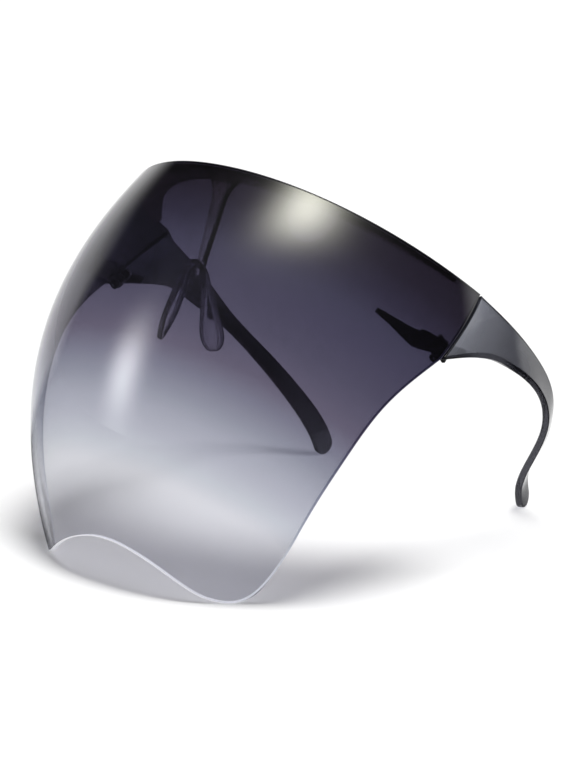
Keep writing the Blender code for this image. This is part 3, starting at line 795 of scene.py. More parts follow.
@dataclass
class Shield:
    """The one-piece lens, which wraps round the whole face."""

    half_width: float = 78.0
    depth: float = 74.8
    span: float = 83.2
    wall: float = 2.0
    rounding: float = 0.45
    rim_level: float = 32.7
    rim_rise: float = 5.15
    joint_foot: float = 6.5
    lean: float = 23.0
    curl: float = 8.7
    width_change: tuple[float, float] = (-0.019, -0.365)
    depth_change: tuple[float, float] = (0.17, -0.259)
    rise_shares: tuple[float, float] = (0.376, 0.624)
    roundness: float = 0.971
    top_angle: float = math.radians(82.2)
    foot_angle: float = math.radians(77.9)
    side_edge: tuple[tuple[float, float], ...] = (
        (70.8, -0.25), (70.9, -0.515), (74.4, -0.79), (77.8, -1.052))
    foot_edge: tuple[tuple[float, float], ...] = (
        (63.1, -1.149), (47.4, -1.163), (31.6, -1.148), (15.8, -1.127), (0.0, -1.115))
    joint_rows: int = 28
    side_rows: int = 92
    columns: int = 210
    joint_edge_share: float = 0.03
    side_edge_share: float = 0.008
    foot_edge_share: float = 0.004
    finish: ClearPlastic = SHIELD_TINT
    edge: GroundEdge = SHIELD_EDGE_PAINTED_GLOW

    def point(self, angle: Array, height: Array) -> Array:
        """Point on the outer face.

        The level is the height over the span. Half width and depth each change with the
        level and its square, and the whole section leans back with the square of the level
        less its cube. At each level the section is a rounded arc: half width times the sine
        of the angle, and depth times one less its cosine, both raised to the roundness.

        Args:
            angle: Angle round the face, 0 in front and positive to the right.
            height: Height above the origin.

        Returns:
            Points in the worn position.
        """
        angle, height = np.broadcast_arrays(np.asarray(angle, float), np.asarray(height, float))
        level = height / self.span
        wide = self.half_width * (1 + self.width_change[0] * level + self.width_change[1] * level ** 2)
        deep = self.depth * (1 + self.depth_change[0] * level + self.depth_change[1] * level ** 2)
        back = self.lean * level ** 2 - self.curl * level ** 3
        side = np.sign(np.sin(angle)) * np.abs(np.sin(angle)) ** self.roundness
        front = np.abs(np.cos(angle)) ** self.roundness
        return np.stack([wide * side, back + deep * (1 - front), height], axis=-1)

    def inward(self, angle: Array, height: Array) -> Array:
        """Unit vector square to the face, towards the wearer: the cross product of its two slopes."""
        across = self.point(angle + SLOPE_STEP, height) - self.point(angle - SLOPE_STEP, height)
        rise = self.span * SLOPE_STEP
        upward = self.point(angle, height + rise) - self.point(angle, height - rise)
        return unit(np.cross(upward, across))

    def inside(self, angle: Array, height: Array, depth: Array) -> Array:
        """Point at a depth behind the outer face."""
        return self.point(angle, height) + self.inward(angle, height) * np.asarray(depth, float)[..., None]

    def rim(self, angle: Array) -> Array:
        """Height of the upper rim: level at the middle, rising with the angle's second and fourth powers."""
        turn = np.asarray(angle, float) / self.top_angle
        rise = self.rise_shares[0] * turn ** 2 + self.rise_shares[1] * turn ** 4
        return self.rim_level + self.rim_rise * rise

    def joint_line(self, share: Array) -> tuple[Array, Array]:
        """Straight line of angle and height on the side edge, where a temple meets the lens.

        Args:
            share: 0 at the foot of the joint, 1 at the rim.

        Returns:
            Angle and height.
        """
        share = np.asarray(share, float)
        angle = self.foot_angle + (self.top_angle - self.foot_angle) * share
        height = self.joint_foot + (self.rim(self.top_angle) - self.joint_foot) * share
        return angle, height

    def lower_edge(self) -> tuple[Array, Array]:
        """Side edge below the joint, and foot edge.

        Both lie on one natural spline through the edge points, its parameter the length run.

        Returns:
            Rows of angle and height for each of the two edges.
        """
        half = [(self.foot_angle, self.joint_foot)]
        half += [(math.radians(turn), share * self.span) for turn, share in self.side_edge + self.foot_edge]
        points = np.array(half + [(-turn, height) for turn, height in reversed(half[:-1])])
        run = np.hypot(np.diff(points[:, 0]) * self.depth, np.diff(points[:, 1]))
        knots = np.concatenate([[0.0], np.cumsum(run)])
        corner = knots[len(self.side_edge)]
        side = spline(knots, points, corner * edged_shares(self.side_rows, self.side_edge_share))
        foot = corner + (knots[-1] - 2 * corner) * edged_shares(self.columns, self.foot_edge_share)
        return side, spline(knots, points, foot)

    def patch(self) -> tuple[Array, Array]:
        """Grid over the whole face, blended between the rim, the two sides and the foot.

        It is the ruled grid from rim to foot, plus the ruled grid from side to side, less
        the one that both share.

        Returns:
            Angles and heights, rows by columns.
        """
        below, foot = self.lower_edge()
        joint = np.stack(self.joint_line(edged_shares(self.joint_rows, self.joint_edge_share)[::-1]), axis=-1)
        right = np.concatenate([joint, below[1:]])
        left = right * (-1, 1)
        foot = foot[::-1]
        across = edged_shares(self.columns, self.foot_edge_share)
        turn = self.top_angle * (2 * across - 1)
        rim = np.stack([turn, self.rim(turn)], axis=-1)
        run = np.hypot(*(np.diff(right, axis=0) * (self.depth, 1)).T)
        down = np.concatenate([[0.0], np.cumsum(run)])[:, None, None] / run.sum()
        across = across[None, :, None]
        ruled = (1 - down) * rim[None] + down * foot[None]
        sides = (1 - across) * left[:, None] + across * right[:, None]
        ends = (1 - across) * ruled[:, :1] + across * ruled[:, -1:]
        grid = ruled + sides - ends
        return grid[..., 0], grid[..., 1]

    def build(self, shop: Workshop) -> None:
        """Make the lens as one wall with rounded, ground edges."""
        angle, height = self.patch()
        shell = wall_shell(self.point(angle, height), self.inward(angle, height), self.wall, self.rounding,
                           round_edge=True)
        # The ground edges take a painted glow in the dye's colour.
        finishes = [self.finish.material(), self.edge.material()]
        shop.make("shield", shell, finishes, Body.FRONT, ["lens"])


@dataclass
class BrowFrame:
    """Curved brow plate behind the rim, with the nose stem and its tongue."""

    shield: Shield
    reach: float = 12.0
    plate: float = 1.8
    rise: float = 2.0
    below_rim: float = 0.4
    taper_angle: float = math.radians(82.0)
    end_angle: float = math.radians(73.0)
    taper_power: float = 4.5
    gap: float = 0.3
    rounding: float = 0.4
    stations: int = 181
    stem_setback: float = 4.5
    stem_tilt: float = math.radians(19.5)
    stem_length: float = 31.0
    stem_wall: float = 2.6
    head_half_width: float = 10.2
    head_drop: float = 1.2
    fillet: float = 9.6
    top_half_width: float = 2.4
    end_half_width: float = 1.3
    tongue_length: float = 4.4
    tongue_root: float = 1.0
    tongue_wall: float = 1.3
    fillet_rings: int = 25
    stem_rings: int = 40
    side_strips: tuple[int, ...] = (9, 19)
    finish: ClearPlastic = BROW_SMOKE
    edge: ClearPlastic = BROW_EDGE_PAINTED_SHADE

    def plate_depth(self, angle: Array) -> Array:
        """Reach of the plate behind the lens: one less a power of the angle, towards nothing at its ends."""
        return self.reach * (1 - np.abs(angle / self.taper_angle) ** self.taper_power)

    def plate_shell(self) -> Shell:
        """Rounded rectangle carried round the rim, from the lens to the plate's depth behind it.

        Returns:
            The closed shell of the plate.
        """
        turn = self.end_angle * np.sin(np.linspace(-1.0, 1.0, self.stations) * math.pi / 2)
        front_depth = self.shield.wall + self.gap
        top = self.shield.rim(turn) - self.below_rim
        front = self.shield.inside(turn, top, np.full_like(turn, front_depth))
        foot = self.shield.inside(turn, top - self.plate, np.full_like(turn, front_depth))
        inward = self.shield.inward(turn, top)
        inward[:, 2] = 0
        depth = self.plate_depth(turn)
        rear = self.shield.point(turn, top) + unit(inward) * depth[:, None]
        rear[:, 2] += self.rise * (depth - front_depth) / (self.reach - front_depth)
        rear_foot = rear - np.array([0, 0, self.plate])
        length = np.linalg.norm(rear - front, axis=-1)
        outline = rounded_rectangle(length, self.plate, self.rounding)
        back, up = outline[..., :1] / length[:, None, None], outline[..., 1:] / self.plate
        rings = ((1 - back) * (1 - up) * foot[:, None] + (1 - back) * up * front[:, None]
                 + back * (1 - up) * rear_foot[:, None] + back * up * rear[:, None])
        return loft(rings, self.side_strips)

    def stem_frame(self) -> Array:
        """Frame of the stem, with its origin inside the brow plate.

        Returns:
            A 4 by 4 matrix: X sideways, Y down along the stem, Z backwards out of its rear face.
        """
        down = np.array([0, math.sin(self.stem_tilt), -math.cos(self.stem_tilt)])
        side = np.array([1.0, 0, 0])
        level = float(self.shield.rim(0.0)) - self.below_rim - self.plate / 2
        front = self.shield.wall + self.gap
        rise = self.rise * (self.stem_setback - front) / (self.reach - front)
        origin = self.shield.point(0.0, level) + np.array([0, self.stem_setback, rise])
        return frame_of(side, down, np.cross(side, down), origin)

    def bar(self, down: Array, half: Array, wall: float, rounding: float) -> Shell:
        """Rounded rectangles along the stem, flush with its rear face.

        Args:
            down: Place of each rectangle along the stem.
            half: Half width of each.
            wall: Thickness.
            rounding: Radius of the corners.

        Returns:
            The closed shell of the bar.
        """
        outline = rounded_rectangle(2 * half, wall, rounding)
        rings = np.stack([outline[..., 0] - half[:, None], down[:, None] + 0 * outline[..., 0],
                          outline[..., 1] + self.stem_wall / 2 - wall], axis=-1)
        return loft(rings, self.side_strips).placed(self.stem_frame())

    def stem_shell(self) -> Shell:
        """Stem whose half width falls along a quarter ellipse under the plate, and then evenly.

        Returns:
            The closed shell of the stem and its T-shaped root.
        """
        turn = np.linspace(0.0, math.pi / 2, self.fillet_rings)
        wide = self.head_half_width - self.top_half_width
        half = self.top_half_width + wide * (1 - np.sin(turn))
        down = self.head_drop + self.fillet * (1 - np.cos(turn))
        share = np.linspace(0.0, 1.0, self.stem_rings)[1:]
        half = np.concatenate([[self.head_half_width], half,
                               self.top_half_width + (self.end_half_width - self.top_half_width) * share])
        down = np.concatenate([[-self.plate / 2 + self.rounding], down,
                               down[-1] + (self.stem_length - down[-1]) * share])
        return self.bar(down, half, self.stem_wall, self.rounding)

    def tongue_shell(self) -> Shell:
        """Thin rounded bar at the rear of the stem's end."""
        down = np.array([self.stem_length - self.tongue_root, self.stem_length + self.tongue_length])
        return self.bar(down, np.full(2, self.end_half_width), self.tongue_wall, self.rounding / 2)

    def build(self, shop: Workshop) -> None:
        """Make plate, stem and tongue as one piece."""
        # The narrow sides and ends take the darker edge finish: painted shade.
        finishes = [self.finish.material(), self.edge.material()]
        brow = shop.make("brow_and_stem", self.plate_shell(), finishes, Body.FRONT, ["brow_frame"])
        shop.merge(brow, [self.stem_shell(), self.tongue_shell()])


@dataclass
class NosePad:
    """Soft clear saddle: an arch over the stem's end and two leaf-shaped legs with raised rims."""

    brow: BrowFrame
    wall: float = 2.0
    rounding: float = 0.55
    web: float = 0.8
    arch_half_span: float = 5.2
    arch_drop: float = 4.0
    arch_setback: float = 2.4
    arch_turn: float = math.radians(70.0)
    drop: float = 23.8
    half_spread: float = 12.7
    setback: float = 14.6
    arch_half_width: float = 1.7
    leaf_half_width: float = 5.7
    splay: float = math.radians(34.0)
    arch_share: float = 0.22
    end_share: float = 0.68
    end_turn: float = math.radians(78.0)
    rim: float = 0.9
    rim_slope: float = 0.8
    stations: int = 161
    rows: int = 33
    finish: ClearPlastic = PAD_CLEAR
    edge: ClearPlastic = PAD_EDGE_PAINTED_SHADE

    def surface(self) -> tuple[Array, Array, Array, Array]:
        """Outer face of the saddle.

        Along the saddle the middle line is the first part of a quarter ellipse and then a
        straight leg, on both sides. Its half width grows along the leg and rounds off at the
        end. Across, the face is straight, and turned by the splay of the legs.

        Returns:
            The whole face, the same face inside its rounding, its inward vectors, and the
            distance of each point from the outline.
        """
        place = np.linspace(-1.0, 1.0, self.stations)
        side, far = np.sign(place), np.abs(place)
        turn = np.clip(far / self.arch_share, 0.0, 1.0) * self.arch_turn
        across = np.sin(turn) / math.sin(self.arch_turn)
        down = (1 - np.cos(turn)) / (1 - math.cos(self.arch_turn))
        leg = np.clip((far - self.arch_share) / (1 - self.arch_share), 0.0, 1.0)
        frame = self.brow.stem_frame()
        clear = self.brow.stem_wall / 2 - self.brow.tongue_wall - self.brow.gap - self.arch_half_width
        top = frame[:3, 3] + frame[:3, 1] * (self.brow.stem_length + self.brow.gap) + frame[:3, 2] * clear
        sideways = self.arch_half_span * across + (self.half_spread - self.arch_half_span) * leg
        drop = self.arch_drop * down + (self.drop - self.arch_drop) * leg
        back = self.arch_setback * down + (self.setback - self.arch_setback) * leg
        spine = np.stack([side * sideways, top[1] + back, top[2] - drop], axis=-1)
        end = np.clip((far - self.end_share) / (1 - self.end_share), 0.0, 1.0)
        half_width = self.arch_half_width + (self.leaf_half_width - self.arch_half_width) * leg
        half_width = half_width * np.sqrt(1 - (end * math.sin(self.end_turn)) ** 2)
        splay = self.splay * leg
        wide = np.stack([side * np.sin(splay), np.cos(splay), np.zeros_like(splay)], axis=-1)
        along = unit(np.gradient(spine, axis=0))
        wide = unit(wide - along * (wide * along).sum(-1, keepdims=True))
        inward = np.cross(along, wide)
        inward *= -np.sign(inward[:, 2] + side * inward[:, 0])[:, None]
        inward = np.repeat(inward[:, None], self.rows, axis=1)
        level = np.sin(np.linspace(-1.0, 1.0, self.rows) * math.pi / 2)
        narrow = half_width - np.minimum(self.rounding, half_width / 3)
        outline, points = (spine[:, None] + wide[:, None] * (half[:, None] * level)[..., None]
                           for half in (half_width, narrow))
        tip = np.linalg.norm(spine - np.where(side[:, None] > 0, spine[-1], spine[0]), axis=-1)[:, None]
        return outline, points, inward, np.minimum(half_width[:, None] * (1 - np.abs(level)), tip)

    def build(self, shop: Workshop) -> None:
        """Make the saddle, with its legs thinner between their rims."""
        outline, points, inward, edge = self.surface()
        shell = wall_shell(outline, inward, self.wall, self.rounding, round_edge=True, face=(points, inward))
        thin = (self.wall - self.web) / 2 * eased((edge - self.rim) / self.rim_slope)
        sunk = (inward * thin[..., None]).reshape(-1, 3)
        shell.points[:len(sunk)] += sunk
        shell.points[len(sunk):2 * len(sunk)] -= sunk
        # The rounded edges take the darker edge finish: painted shade.
        finishes = [self.finish.material(), self.edge.material()]
        shop.make("nose_saddle", shell, finishes, Body.FRONT, ["nose_pad"])


@dataclass
class Hinge:
    """Blade, leaf and screw of one hinge: three knuckles parallel to the joint line."""

    shield: Shield
    joint_gap: float = 0.7
    gap: float = 0.3
    knuckle_radius: float = 1.8
    knuckle_height: float = 2.4
    foot_level: float = 0.9
    chamfer: float = 0.25
    web_wall: float = 1.3
    web_reach: float = 4.2
    screw_radius: float = 0.6
    head_radius: float = 1.4
    head_height: float = 0.7
    socket_radius: float = 0.6
    pitch: float = 0.35
    temple_wall: float = 2.4
    plate_wall: float = 1.3
    plate_height: float = 13.6
    plate_angles: tuple[float, float] = (math.radians(55.3), math.radians(77.0))
    plate_along: tuple[float, ...] = (0.0, 0.26, 0.42, 0.54, 0.62, 0.64, 0.74, 0.91, 1.0)
    plate_foot: tuple[float, ...] = (0.47, 0.40, 0.34, 0.31, 0.30, 0.30, 0.36, 0.51, 0.54)
    plate_head: tuple[float, ...] = (0.58, 0.625, 0.66, 0.71, 0.75, 0.83, 0.90, 0.96, 1.0)
    leaf_wall: float = 1.2
    leaf_length: float = 7.0
    leaf_heights: tuple[float, float] = (6.0, 2.7)
    leaf_inset: float = 0.5
    groove: float = 0.08
    blade_inset_shares: tuple[float, float] = (0.012, 0.12)
    blade_stations: int = 41
    leaf_stations: int = 31
    rows: int = 9
    sides: int = 48
    finish: SatinPlastic = HINGE_BLACK
    steel: TurnedSteel = TurnedSteel()

    def frame(self) -> Array:
        """Frame of the right hinge, with its origin on the screw's axis level with the joint's foot.

        Returns:
            A 4 by 4 matrix: X backwards along the temple, Y inwards, Z up the joint line.
        """
        foot, top = (self.shield.point(*self.shield.joint_line(share)) for share in (0.0, 1.0))
        axis = unit(top - foot)
        inward = self.shield.inward(*self.shield.joint_line(0.0))
        inward = unit(inward - axis * inward.dot(axis))
        back = np.cross(inward, axis)
        depth = self.temple_wall + self.gap + self.knuckle_radius
        return frame_of(back, inward, axis, foot + back * self.joint_gap / 2 + inward * depth)

    def levels(self, knuckle: int) -> tuple[float, float]:
        """Lowest and highest level of a knuckle, counted from the foot up."""
        foot = self.foot_level + knuckle * (self.knuckle_height + self.gap)
        return foot, foot + self.knuckle_height

    def knuckle(self, index: int) -> Shell:
        """Chamfered barrel with its bore.

        Args:
            index: Its number, counted from the foot up.

        Returns:
            The closed shell of the right-hand barrel.
        """
        low, high = self.levels(index)
        bore, outer, cut = self.screw_radius + self.gap, self.knuckle_radius, self.chamfer
        profile = np.array([
            (bore + cut, low), (outer - cut, low), (outer, low + cut), (outer, high - cut),
            (outer - cut, high), (bore + cut, high), (bore, high - cut), (bore, low + cut)])
        return revolved(profile, self.sides).placed(self.frame())

    def web(self, index: int, towards: int) -> Shell:
        """Rounded bar from beside the bore of a knuckle to the blade or leaf.

        Args:
            index: Number of the knuckle, counted from the foot up.
            towards: 1 for a bar that runs backwards, -1 for one that runs forwards.

        Returns:
            The closed shell of the right-hand bar.
        """
        low, high = self.levels(index)
        start = self.screw_radius + 2 * self.gap
        outline = rounded_rectangle(np.full(4, self.web_reach - start), self.web_wall, self.chamfer)
        level = np.array([low, low + self.chamfer, high - self.chamfer, high])[:, None]
        middle = outline.mean(axis=1, keepdims=True)
        inset = 1 - self.chamfer / self.web_wall * np.array([1.0, 0.0, 0.0, 1.0])[:, None, None]
        outline = middle + (outline - middle) * inset
        side = outline[..., 1] - self.knuckle_radius + self.gap / 2
        rings = np.stack([towards * (start + outline[..., 0]), side, level + 0 * side], axis=-1)
        return loft(rings).placed(self.frame())

    def blade_shell(self) -> Shell:
        """Blade on the inner face of the lens, one gap behind it, its outline given along its length.

        Returns:
            The closed shell of the right-hand blade.
        """
        share = np.unique(np.concatenate([np.linspace(0.0, 1.0, self.blade_stations), self.plate_along]))
        first, last = self.plate_angles
        angle = (first + (last - first) * share)[:, None]
        foot, head = (self.plate_height * np.interp(share, self.plate_along, edge)[:, None]
                      for edge in (self.plate_foot, self.plate_head))
        grids = []
        for along, across in ((0.0, 0.0), self.blade_inset_shares):
            height = foot + (head - foot) * (across + (1 - 2 * across) * np.linspace(0.0, 1.0, self.rows))
            turn = angle + (last - first) * along * (1 - 2 * share[:, None]) + 0 * height
            depth = np.full_like(turn, self.shield.wall + self.gap)
            grids.append((self.shield.inside(turn, height, depth), self.shield.inward(turn, height)))
        return wall_shell(*grids[0], self.plate_wall, self.chamfer, face=grids[1])

    def leaf_shell(self, temple: Temple) -> Shell:
        """Leaf on the inner face of the temple, one gap behind it, along its lower edge.

        Args:
            temple: The temple that carries it.

        Returns:
            The closed shell of the right-hand leaf.
        """
        place = np.linspace(0.0, 1.0, self.leaf_stations)[:, None]
        level = np.linspace(0.0, 1.0, self.rows)[None, :]
        wide = self.leaf_heights[0] + (self.leaf_heights[1] - self.leaf_heights[0]) * place
        grids = []
        for inset in (0.0, self.chamfer):
            along = self.knuckle_radius + self.joint_gap + self.leaf_length * place + inset * (1 - 2 * place)
            share = along / temple.reach
            across = (self.leaf_inset + wide * level + inset * (1 - 2 * level)) / temple.tall(share)
            inward = temple.inward(share, across)
            grids.append((temple.point(share, across) + inward * (self.temple_wall + self.gap), inward))
        return wall_shell(*grids[0], self.leaf_wall, self.chamfer, face=grids[1])

    def screw_shell(self) -> Shell:
        """Screw as rings up its axis: a grooved shank, a chamfered head and a six-sided socket in it.

        Returns:
            The closed shell of the right-hand screw.
        """
        low, head = self.levels(0)[0], self.levels(2)[1] + self.gap
        top, cut = head + self.head_height, self.chamfer / 2
        grooves = int((self.levels(1)[0] - low) / self.pitch)
        rows = [(self.screw_radius - cut, low, 0.0)]
        for level in low + cut + self.pitch * np.arange(grooves):
            rows += [(self.screw_radius, level, 0.0)]
            rows += [(self.screw_radius - self.groove, level + self.pitch / 2, 0.0)]
        rows += [(self.screw_radius, low + cut + grooves * self.pitch, 0.0), (self.screw_radius, head, 0.0)]
        rows += [(self.head_radius, head, 0.0), (self.head_radius, top - cut, 0.0)]
        rows += [(self.head_radius - cut, top, 0.0)]
        rows += [(self.socket_radius, level, 1.0) for level in (top, top - self.head_height / 2)]
        turn = np.linspace(0.0, 2 * math.pi, self.sides, endpoint=False)
        corner = (turn + math.pi / 6) % (math.pi / 3) - math.pi / 6
        radius, level, sided = (np.array(rows)[:, k, None] for k in range(3))
        radius = radius * (1 - sided + sided * math.cos(math.pi / 6) / np.cos(corner))
        rings = np.stack([radius * np.cos(turn), radius * np.sin(turn), level + 0 * radius], axis=-1)
        return loft(rings).placed(self.frame())

    def build(self, shop: Workshop, temple: Temple) -> None:
        """Make blade, leaf and screw of both sides, with the knuckles beside the blade and the leaf."""
        black, steel = [self.finish.material()], [self.steel.material()]
        blade = self.blade_shell().joined(
            shape for index in (0, 2) for shape in (self.knuckle(index), self.web(index, -1)))
        leaf = self.leaf_shell(temple).joined([self.knuckle(1), self.web(1, 1)])
        screw = self.screw_shell()
        for side in Side:
            for name, shell, finish, body, node, slot in (
                    ("blade", blade, black, Body.FRONT, "hinge_plate", "hinge_black"),
                    ("leaf", leaf, black, side.temple(), "hinge_leaf", "hinge_black"),
                    ("screw", screw, steel, Body.FRONT, "hinge_screw", "screw_steel")):
                nodes = [f"{node}_{side.value}"]
                shop.make(f"{name}_{side.value}", shell.on(side), finish, body, nodes)


@dataclass
class Temple:
    """Folding side arm, tall at the joint, slender along the head and hooked at its tip."""

    shield: Shield
    hinge: Hinge
    reach: float = 122.2
    wrap: float = 26.0
    climb: float = 11.9
    slender: float = 6.0
    tip: float = 8.0
    wall: float = 2.4
    rounding: float = 0.4
    station_shares: tuple[float, ...] = (0.0, 0.054, 0.115, 0.253, 0.392, 0.530, 0.668, 0.806, 0.918, 1.0)
    wrap_shares: tuple[float, ...] = (0.0, 0.0, 0.02, 0.088, 0.108, 0.014, -0.225, -0.607, -0.945, -1.0)
    climb_shares: tuple[float, ...] = (0.0, 0.298, 0.556, 0.877, 0.997, 0.946, 0.751, 0.294, -0.26, -0.645)
    front_shares: tuple[float, ...] = (1.0, 0.664, 0.434, 0.231, 0.123, 0.0, 0.0, 0.0, 0.0, 0.0)
    tail_shares: tuple[float, ...] = (0.0, 0.0, 0.0, 0.0, 0.0, 0.0, 0.0, 0.6, 1.0, 1.0)
    lean_shares: tuple[float, ...] = (-0.09, -0.05, -0.01, -0.19, -0.33, -0.1, -0.14, 0.1, -0.1, -0.23)
    upright_share: float = 0.11
    root_share: float = 0.15
    bevels: tuple[float, float] = (2.6, 0.5)
    bevel_slope: float = 0.35
    bevel_fade: float = 0.4
    # Height of a strip below the top edge that takes the darker edge finish: a painted dark line.
    painted_top_band: float = 0.9
    most_band_share: float = 0.3
    tip_end_angle: float = math.radians(82.0)
    columns: int = 190
    tip_columns: int = 26
    rows: int = 22
    bevel_rows: int = 3
    finish: ClearPlastic = TEMPLE_SMOKE
    edge: ClearPlastic = TEMPLE_EDGE_PAINTED_SHADE

    def stations(self) -> Array:
        """Stations of the middle line, measured from the middle of the joint.

        Returns:
            One row for each station: how far out, how far back and how far up.
        """
        shares = np.stack([self.wrap_shares, self.station_shares, self.climb_shares], axis=-1)
        return shares * np.array([self.wrap, self.reach, self.climb])

    def tip_start(self) -> float:
        """Share of the reach where the rounded tip begins."""
        last = np.diff(self.stations()[-2:], axis=0)
        step = self.station_shares[-1] - self.station_shares[-2]
        return 1.0 - self.tip / 2 / np.linalg.norm(last) * step

    def point(self, share: Array, across: Array) -> Array:
        """Point on the outer face of the right temple.

        Behind the root share it is the arm itself. Up to there it is a cubic curve, for each
        level across, from the joint line to the arm: it leaves straight towards its end and
        arrives along the arm.

        Args:
            share: Share of the reach, 0 at the joint and 1 at the tip.
            across: Share of the height, 0 at the lower edge.

        Returns:
            Points in the worn position.
        """
        share, across = np.broadcast_arrays(np.asarray(share, float), np.asarray(across, float))
        root = np.full_like(across, self.root_share)
        start, end = self.arm(0 * root, across), self.arm(root, across)
        span = np.linalg.norm(end - start, axis=-1, keepdims=True)
        last = span * unit(self.arm(root + SLOPE_STEP, across) - self.arm(root - SLOPE_STEP, across))
        t = (share / self.root_share)[..., None]
        cubic = ((2 * t - 3) * t * t + 1) * start + ((t - 2) * t + 1) * t * (end - start)
        cubic = cubic + (3 - 2 * t) * t * t * end + (t - 1) * t * t * last
        return np.where(t < 1, cubic, self.arm(share, across))

    def arm(self, share: Array, across: Array) -> Array:
        """Point on the outer face of the arm.

        The middle line is a spline through the stations. Across it the face is a straight
        line, whose height runs from the joint's to the slender height and then the tip's,
        and closes along an ellipse at the tip. Its direction turns from the joint line to
        the leaning upright over the first share, and near the joint it keeps the bulge of
        the lens edge.

        Args:
            share: Share of the reach.
            across: Share of the height.

        Returns:
            Points in the worn position.
        """
        share, across = np.broadcast_arrays(np.asarray(share, float), np.asarray(across, float))
        flat, level = share.reshape(-1), across.reshape(-1)
        foot, top = (self.shield.point(*self.shield.joint_line(end)) for end in (0.0, 1.0))
        frame = self.hinge.frame()
        start = (foot + top) / 2 + frame[:3, 0] * self.hinge.joint_gap
        knots, stations = self.station_shares, self.stations()
        spine = spline(knots, stations, flat).reshape(-1, 3)
        along = unit(spline(knots, stations, flat + SLOPE_STEP) - spline(knots, stations, flat - SLOPE_STEP))
        joint_height = np.linalg.norm(top - foot)
        front, tail = spline(knots, self.front_shares, flat), spline(knots, self.tail_shares, flat)
        height = self.slender + front * (joint_height - self.slender) + tail * (self.tip - self.slender)
        end = np.clip((flat - self.tip_start()) / (1.0 - self.tip_start()), 0.0, 1.0)
        height = height * np.sqrt(1.0 - end ** 2)
        lean = spline(knots, self.lean_shares, flat)
        upright = np.stack([lean, np.zeros_like(lean), np.ones_like(lean)], axis=-1)
        upright = unit(upright - along * (upright * along).sum(-1, keepdims=True))
        blend = eased(flat / self.upright_share)[:, None]
        upward = unit((1 - blend) * frame[:3, 2] + blend * upright)
        points = start + spine + upward * (height * (level - 0.5))[:, None]
        bulge = self.shield.point(*self.shield.joint_line(level)) - (foot + (top - foot) * level[:, None])
        return (points + bulge * (1 - blend) ** 2).reshape(*share.shape, 3)

    def inward(self, share: Array, across: Array) -> Array:
        """Unit vector square to the face, towards the head: the cross product of its two slopes."""
        along = self.point(share + SLOPE_STEP, across) - self.point(share - SLOPE_STEP, across)
        upward = self.point(share, across + SLOPE_STEP) - self.point(share, across - SLOPE_STEP)
        return -unit(np.cross(along, upward))

    def tall(self, share: Array) -> Array:
        """Height of the face at each share."""
        return np.linalg.norm(self.point(share, 1.0) - self.point(share, 0.0), axis=-1)

    def bands(self, share: Array) -> tuple[Array, Array]:
        """Shares of the height that the bevel below and the band of painted shade above take.

        Args:
            share: Share of the reach, along which the bevel eases to its lesser height.

        Returns:
            Both shares, which are never more than the most.
        """
        tall = self.tall(share)
        low = self.bevels[0] + (self.bevels[1] - self.bevels[0]) * eased(share / self.bevel_fade)
        low, high = (np.minimum(band / tall, self.most_band_share) for band in (low, self.painted_top_band))
        return low, high

    def skin(self, share: Array, across: Array) -> tuple[Array, Array]:
        """Outer face with its bevel, a slope towards the head along the lower edge.

        Args:
            share: Share of the reach.
            across: Share of the height.

        Returns:
            Points in the worn position, and the inward vectors of the face without its bevel.
        """
        inward = self.inward(share, across)
        below = np.clip(self.bands(share)[0] - across, 0.0, 1.0)
        sunk = self.bevel_slope * below * self.tall(share)
        return self.point(share, across) + inward * sunk[..., None], inward

    def shell(self) -> Shell:
        """Wall behind the outer face, its columns close together at the tip, its edges along the bands; the
        edge faces take a darker finish as painted shade.

        Returns:
            The closed shell of the right-hand arm.
        """
        start = self.tip_start()
        turn = np.linspace(0.0, self.tip_end_angle, self.tip_columns + 1)[1:]
        body = np.linspace(0.0, start, self.columns)
        share = np.concatenate([body, start + (1 - start) * np.sin(turn)])[:, None]
        low, high = self.bands(share)
        middle = low + (1 - low - high) * np.linspace(0.0, 1.0, self.rows)[None, 1:-1]
        steps = np.linspace(0.0, 1.0, self.bevel_rows + 1)[None, :]
        inset = np.minimum(self.rounding / self.tall(share), np.minimum(low, high) / 2)
        drawn_in = share + self.rounding / self.reach * (1 - 2 * share / share[-1])
        grids = []
        for along, cut in ((share, 0 * low), (drawn_in, inset)):
            across = np.concatenate([cut + (low - cut) * steps, middle, 1 - high, 1 - cut], axis=1)
            grids.append(self.skin(along, across))
        # The bevel rows and the top band take the darker edge finish: painted shade.
        shell = wall_shell(*grids[0], self.wall, self.rounding, round_edge=True, face=grids[1],
                           marked=(*range(self.bevel_rows), across.shape[1] - 2))
        return replace(shell, dye_axis=(0.0, -1.0, 0.0))

    def build(self, shop: Workshop) -> None:
        """Make both arms."""
        finishes = [self.finish.material(), self.edge.material()]
        shell = self.shell()
        for side in Side:
            shop.make(f"arm_{side.value}", shell.on(side), finishes, side.temple(), [f"temple_{side.value}"])


@dataclass(frozen=True)
class SoftBox:
    """Soft lamp that only reflections show, as a bell of light round a direction."""

    across: tuple[float, float, float]
    along: tuple[float, float, float]
    widths: tuple[float, float]
    strength: float
    color: Color

    def glow(self, sheet: NodeSheet, ray: Socket) -> Socket:
        """Light along a ray: a bell of its two slants to the lamp's middle, on the lamp's side only.

        Args:
            sheet: Nodes of the world.
            ray: Direction of the ray.

        Returns:
            The light as a colour.
        """
        across, along = unit(self.across), unit(self.along)
        slants = [sheet.dot(ray, axis / width) for axis, width in zip((across, along), self.widths)]
        squares = [sheet.maths("MULTIPLY", slant, slant) for slant in slants]
        bell = sheet.maths("EXPONENT", sheet.maths("MULTIPLY", sheet.maths("ADD", *squares), -1.0))
        facing = sheet.maths("GREATER_THAN", sheet.dot(ray, np.cross(across, along)), 0.0)
        level = sheet.maths("MULTIPLY", sheet.maths("MULTIPLY", bell, facing), self.strength)
        return sheet.scaled(self.color, level)


